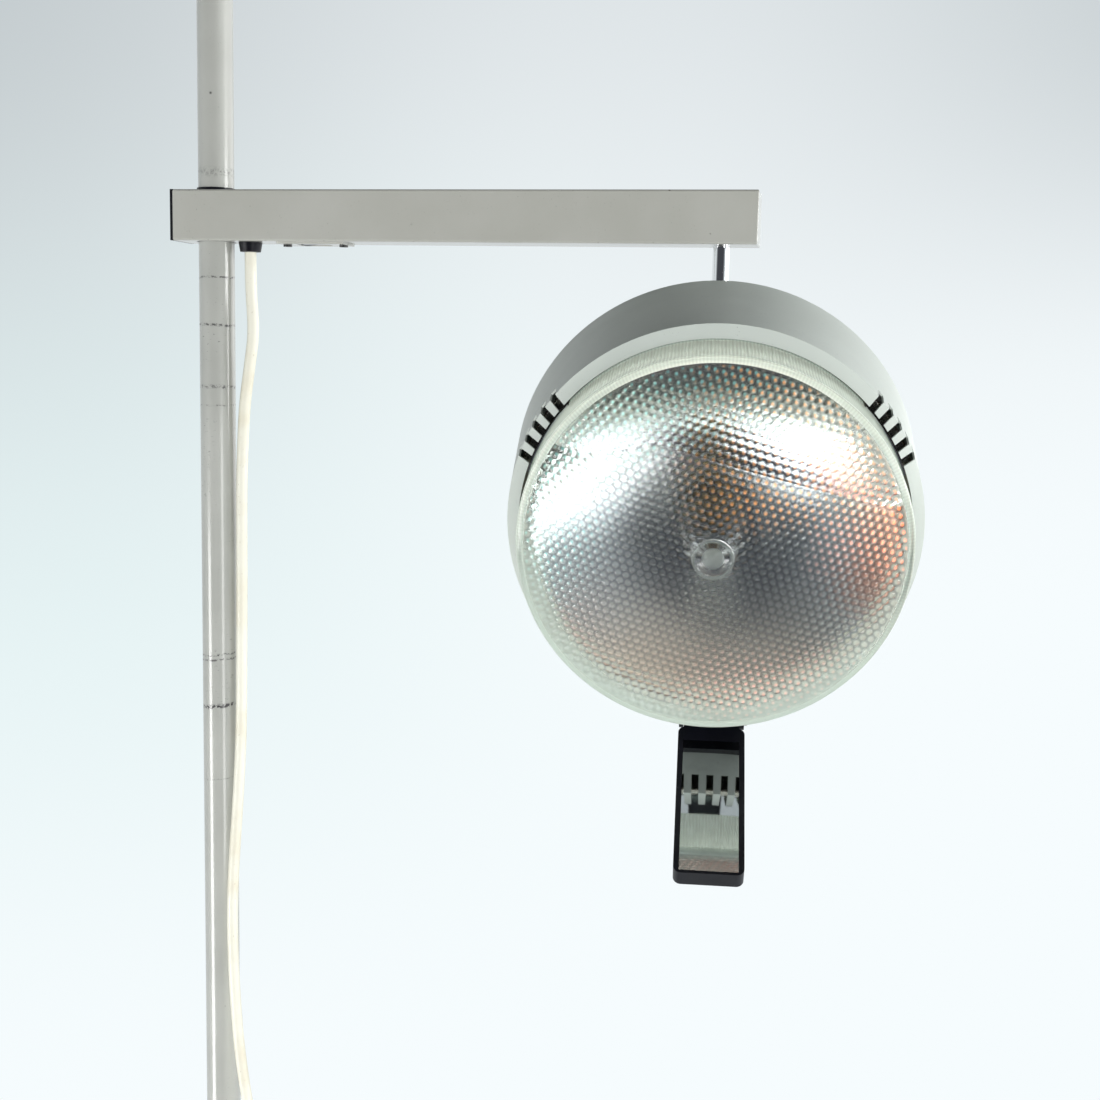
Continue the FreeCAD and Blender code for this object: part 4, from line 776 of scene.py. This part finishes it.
def add_lathe(shell, profile, sides):
    """Adds a turned surface to a shell: the profile's corners are radius and height in millimetres."""
    rings = []
    for radius, height in profile:
        if radius == 0:
            rings.append([shell.verts.new((0, 0, height * MM))])
            continue
        ring = []
        for step in range(sides):
            angle = 2 * math.pi * step / sides
            across, up = radius * MM * math.cos(angle), radius * MM * math.sin(angle)
            ring.append(shell.verts.new((across, up, height * MM)))
        rings.append(ring)
    for here, there in zip(rings, rings[1:]):
        for step in range(sides):
            after = (step + 1) % sides
            corners = [here[step % len(here)], here[after % len(here)]]
            corners += [there[after % len(there)], there[step % len(there)]]
            corners = list(dict.fromkeys(corners))
            if len(corners) > 2:
                shell.faces.new(corners)
    return rings


def zipped(shell, inner, outer):
    """Joins two loops that lie round the axis and have different numbers of points."""

    def by_angle(vertex):
        return math.atan2(vertex.co.y, vertex.co.x)

    inner = sorted(inner, key=by_angle)
    outer = sorted(outer, key=by_angle)
    i = j = 0
    while i < len(inner) or j < len(outer):
        next_inner = by_angle(inner[i % len(inner)]) + (2 * math.pi if i >= len(inner) else 0)
        next_outer = by_angle(outer[j % len(outer)]) + (2 * math.pi if j >= len(outer) else 0)
        here, there = inner[i - 1], outer[j - 1]
        if j >= len(outer) or (i < len(inner) and next_inner <= next_outer):
            shell.faces.new((here, there, inner[i % len(inner)]))
            i += 1
        else:
            shell.faces.new((here, there, outer[j % len(outer)]))
            j += 1


def smooth_faces(shell, sharp=math.radians(35)):
    """Smooth shading, with edges left sharp above an angle."""
    for face in shell.faces:
        face.smooth = True
    for edge in shell.edges:
        edge.smooth = edge.is_manifold and edge.calc_face_angle(0) < sharp


def border(vertices):
    return [vertex for vertex in vertices if vertex.is_boundary]


def reach_of(vertex):
    """Distance from the axis, in millimetres."""
    return math.hypot(vertex.co.x, vertex.co.y) / MM


def face_loops(shell):
    """The open edges of the lens's face: its rim and the hole for the boss."""
    rim, hole = [], []
    for vertex in border(shell.verts):
        (rim if reach_of(vertex) > BETWEEN_RIM_AND_HOLE else hole).append(vertex)
    return rim, hole


def dome_height(radius, thinner=0.0):
    """Height of the lens's dome at a radius, or of its inside with the thickness given; in millimetres."""
    sphere = LENS_DOME - thinner
    return LENS_APEX - LENS_DOME + math.sqrt(sphere**2 - radius**2)


def lens_mesh(material):
    """The whole lens: lenslet face, smooth rim, ribbed wall, flange, boss and the plain inside."""
    shell = bmesh.new()
    shell.from_mesh(lens_face_mesh(material))
    turn = Matrix.Rotation(math.radians(-LENSLET_TURN), 4, "Z")
    bmesh.ops.transform(shell, matrix=turn, verts=shell.verts)
    face_rim, face_hole = face_loops(shell)
    for loop, radius in ((face_rim, FACE_RADIUS), (face_hole, FACE_HOLE)):
        for vertex in loop:
            share = radius / reach_of(vertex)
            vertex.co.x *= share
            vertex.co.y *= share
            vertex.co.z = dome_height(radius) * MM
    bmesh.ops.remove_doubles(shell, verts=face_rim + face_hole, dist=0.3 * MM)
    face_rim, face_hole = face_loops(shell)

    boss = add_lathe(
        shell,
        [
            (0, LENS_APEX - 0.4),
            (6.6, LENS_APEX - 0.4),
            (7.0, LENS_APEX),
            (10.0, LENS_APEX),
            (10.3, LENS_APEX + 0.2),
            (10.4, LENS_APEX + 1.1),
            (10.7, LENS_APEX + 1.4),
            (12.1, LENS_APEX + 1.4),
            (12.45, LENS_APEX + 1.1),
            (12.55, dome_height(12.55) + 0.1),
            (12.8, dome_height(12.8)),
        ],
        120,
    )
    zipped(shell, boss[-1], face_hole)
    rim = add_lathe(
        shell,
        [
            (115.1, dome_height(115.1)),
            (116.9, dome_height(116.9)),
            (117.8, dome_height(117.8) - 0.1),
            (118.3, 141.1),
            (118.6, 140.5),
        ],
        360,
    )
    zipped(shell, face_rim, rim[0])

    known = len(shell.verts)
    shell.from_mesh(lens_rib_mesh(material))
    shell.verts.ensure_lookup_table()
    edges = border(shell.verts[known:])
    top = [v for v in edges if v.co.z > WALL_MIDDLE]
    foot = [v for v in edges if v.co.z < WALL_MIDDLE]
    zipped(shell, rim[-1], top)

    inside = [(119.3, 101.5), (125.2, 101.5), (125.2, 99.5), (115.7, 99.5), (115.7, 134.6)]
    inside += [(115.3, 137.2)]
    inside += [(radius, dome_height(radius, LENS_THICKNESS)) for radius in (114.1, *range(110, -10, -10))]
    hidden = add_lathe(shell, inside, 240)
    zipped(shell, foot, hidden[0])
    bmesh.ops.recalc_face_normals(shell, faces=shell.faces)
    smooth_faces(shell, math.radians(50))
    bmesh.ops.transform(shell, matrix=HEAD_PLACE, verts=shell.verts)
    return finished_mesh(shell, "lens")


lens = new_piece("ribbed_lens", lens_mesh(finishes["lens_clear"]), finishes["lens_clear"], "head")
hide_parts("lens")


def reflector_mesh():
    """The bright bowl with its rolled rim and the hole for the lampholder."""
    middle, rise, wide, thick = 40.2, 58.0, 115.0, 1.0
    hole, edge, steps = 21.1, 114.0, 44
    front, back = [], []
    for step in range(steps + 1):
        radius = hole + (edge - hole) * step / steps
        height = middle + rise * (radius / wide) ** 2
        slope = math.atan(2 * rise * radius / wide**2)
        front.append((radius, height))
        back.append((radius + thick * math.sin(slope), height - thick * math.cos(slope)))
    rolled_rim = [(115.0, 98.5), (115.8, 99.2), (126.2, 99.2), (126.2, 98.2), (116.6, 98.0)]
    profile = front + rolled_rim + back[::-1]
    profile.append(profile[0])
    shell = bmesh.new()
    add_lathe(shell, profile, 240)
    bmesh.ops.remove_doubles(shell, verts=shell.verts, dist=0.00001)
    bmesh.ops.recalc_face_normals(shell, faces=shell.faces)
    smooth_faces(shell)
    bmesh.ops.transform(shell, matrix=HEAD_PLACE, verts=shell.verts)
    return finished_mesh(shell, "reflector_bowl")


bowl = new_piece("reflector_bowl", reflector_mesh(), finishes["reflector"], "head")
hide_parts("reflector")


# Studio: pale surroundings, soft lamps and a round floor that fades out.
class Surroundings(Tree):
    """The world's node tree, which paints light by the direction of a ray."""

    def __init__(self):
        world = bpy.data.worlds.new("studio")
        scene.world = world
        world.use_nodes = True
        super().__init__(world.node_tree)
        self.tree.nodes.clear()
        self.way = self.node("ShaderNodeTexCoord", output="Generated")

    def along(self, direction):
        """How far a ray goes along a direction: 1 straight along it, -1 straight away."""
        return self.vector_math("DOT_PRODUCT", self.way, tuple(direction), output="Value")

    def ray(self, kind):
        return self.node("ShaderNodeLightPath", output=kind)

    def panel(self, direction, width, height):
        """A bright rectangle with soft edges in a direction; its sizes are half widths as slopes."""
        ahead = Vector(direction).normalized()
        across = ahead.cross((0, 0, 1)).normalized()
        forward = self.along(ahead)
        over = abs(self.along(across) / forward)
        up = abs(self.along(across.cross(ahead)) / forward)
        soft = 0.06
        inside = (1 - over.step(width, width + soft)) * (1 - up.step(height, height + soft))
        return inside * (forward > 0)

    def light(self, colour, strength):
        return self.node("ShaderNodeBackground", None, {"Color": colour, "Strength": strength})


studio = Surroundings()

# what the camera sees behind the lamp: pale, greyer in the upper corners
sideways = studio.along(CAMERA_RIGHT)
upward = studio.along(CAMERA_UP)
pale = studio.mix(upward.step(-0.05, 0.50), tint(246, 252, 254), tint(217, 223, 226))
veil = (0.15 - sideways).step(0.0, 0.50) * upward.step(-0.35, 0.0) * (1 - upward.step(0.10, 0.35))
pale = studio.mix(veil, pale, tint(230, 243, 244))
left_corner = (0.05 - sideways).step(0.02, 0.46) * upward.step(-0.10, 0.40)
right_corner = (sideways - 0.05).step(0.02, 0.46) * upward.step(0.10, 0.36)
corner = (left_corner + right_corner) * 0.9
pale = studio.mix(corner, pale, tint(189, 197, 200))

# what glossy surfaces mirror: a pale room, dark overhead and behind the camera, with bright panels
overhead = studio.along((0, 0, 1))
in_front = studio.along((0, -1, 0))
room_behind = studio.along((0.0, -0.96, -0.28)).step(0.34, 0.75)
gloss = studio.mix(overhead.step(0.28, 0.56), tint(232, 238, 240), tint(40, 40, 40))
gloss = studio.mix(room_behind, gloss, tint(72, 74, 79))
for direction, width, height, bright in (
    ((0.91, 0.42, 0.17), 0.60, 0.09, 1.8),
    ((0.64, 0.77, 0.02), 0.30, 0.10, 2.5),
    ((1.00, 0.00, 0.00), 0.17, 0.08, 14.0),
    ((0.70, -0.70, -0.20), 0.10, 0.12, 6.0),
    ((-0.71, -0.71, -0.35), 0.14, 0.19, 11.0),
):
    gloss = studio.mix(studio.panel(direction, width, height), gloss, (bright, bright, bright))

# what the bowl mirrors through the lens: the same room with two windows
bowl_view = studio.mix(overhead.step(0.20, 0.60), tint(228, 232, 234), (1.45, 1.32, 1.15))
bowl_view = studio.mix(room_behind, bowl_view, tint(90, 92, 97))
right_window = studio.panel((0.742, -0.026, -0.67), 0.27, 0.36)
left_window = studio.panel((-0.44, -0.08, -0.894), 0.43, 0.36)
bowl_view = studio.mix(right_window.math("MAXIMUM", left_window), bowl_view, (7.0, 7.0, 7.0))

# what lights matt surfaces: most from the front, little from overhead
lit = studio.mix(in_front.step(-0.2, 0.7), (0.60, 0.60, 0.60), (1.0, 1.0, 1.0))
lit = studio.mix(overhead.step(-0.45, 0.25), lit, (0.07, 0.075, 0.08))
lit = studio.mix((0 - overhead).step(0.40, 0.85), lit, (0.24, 0.24, 0.24))

# rays through the lens count as glossy too, so transmission comes after gloss
shown = studio.mix(studio.ray("Is Glossy Ray"), lit, gloss)
shown = studio.mix(studio.ray("Is Transmission Ray"), shown, bowl_view)
shown = studio.mix(studio.ray("Is Camera Ray"), shown, pale)
studio.node("ShaderNodeOutputWorld", None, {"Surface": studio.light(shown, 1.0)})


def soft_lamp(name, place, aim, width, height, watts, spread=180):
    """An area lamp that nothing mirrors."""
    lamp = bpy.data.lights.new(name, "AREA")
    lamp.shape = "RECTANGLE"
    lamp.size = width
    lamp.size_y = height
    lamp.energy = watts
    lamp.spread = math.radians(spread)
    holder = bpy.data.objects.new(name, lamp)
    scene.collection.objects.link(holder)
    way = Vector(aim) - Vector(place)
    holder.location = place
    holder.rotation_euler = way.to_track_quat("-Z", "Y").to_euler()
    holder.visible_camera = False
    holder.visible_glossy = False
    holder.visible_transmission = False


soft_lamp("key_right", (2.4, 0.9, 1.8), (0.25, 0, 1.3), 0.9, 1.2, 54)
soft_lamp("fill_left", (-0.5, -0.15, 0.35), (0.0, 0, 0.6), 0.3, 0.7, 0.9)
soft_lamp("front", (0.7, -2.6, 0.85), (0.25, 0, 1.25), 1.8, 0.8, 46)
soft_lamp("base", (-0.3, -1.3, 1.0), (0.1, 0, 0.0), 0.8, 0.6, 2.4, 110)


def studio_floor():
    """A pale round floor that keeps the shadow and fades out."""
    finish = Finish("floor_white")
    reach = (finish.x * finish.x + finish.y * finish.y).math("SQRT")
    patches = finish.noise(3, 2)
    white = finish.mix(patches.step(0.3, 0.7), (0.80, 0.81, 0.82), (0.77, 0.78, 0.79))
    material = finish.principled(
        base_color=white,
        roughness=0.7,
        alpha=1 - reach.step(0.40, 1.10),
        emission_color=(0.30, 0.31, 0.32),
        emission_strength=1.0,
    )
    shell = bmesh.new()
    add_lathe(shell, [(0, 0), (400, 0), (800, 0), (1400, 0)], 96)
    for face in shell.faces:
        if face.normal.z < 0:
            face.normal_flip()
    floor = new_piece("floor", finished_mesh(shell, "floor"), material)
    floor.visible_diffuse = False
    floor.visible_glossy = False
    floor.visible_transmission = False


studio_floor()
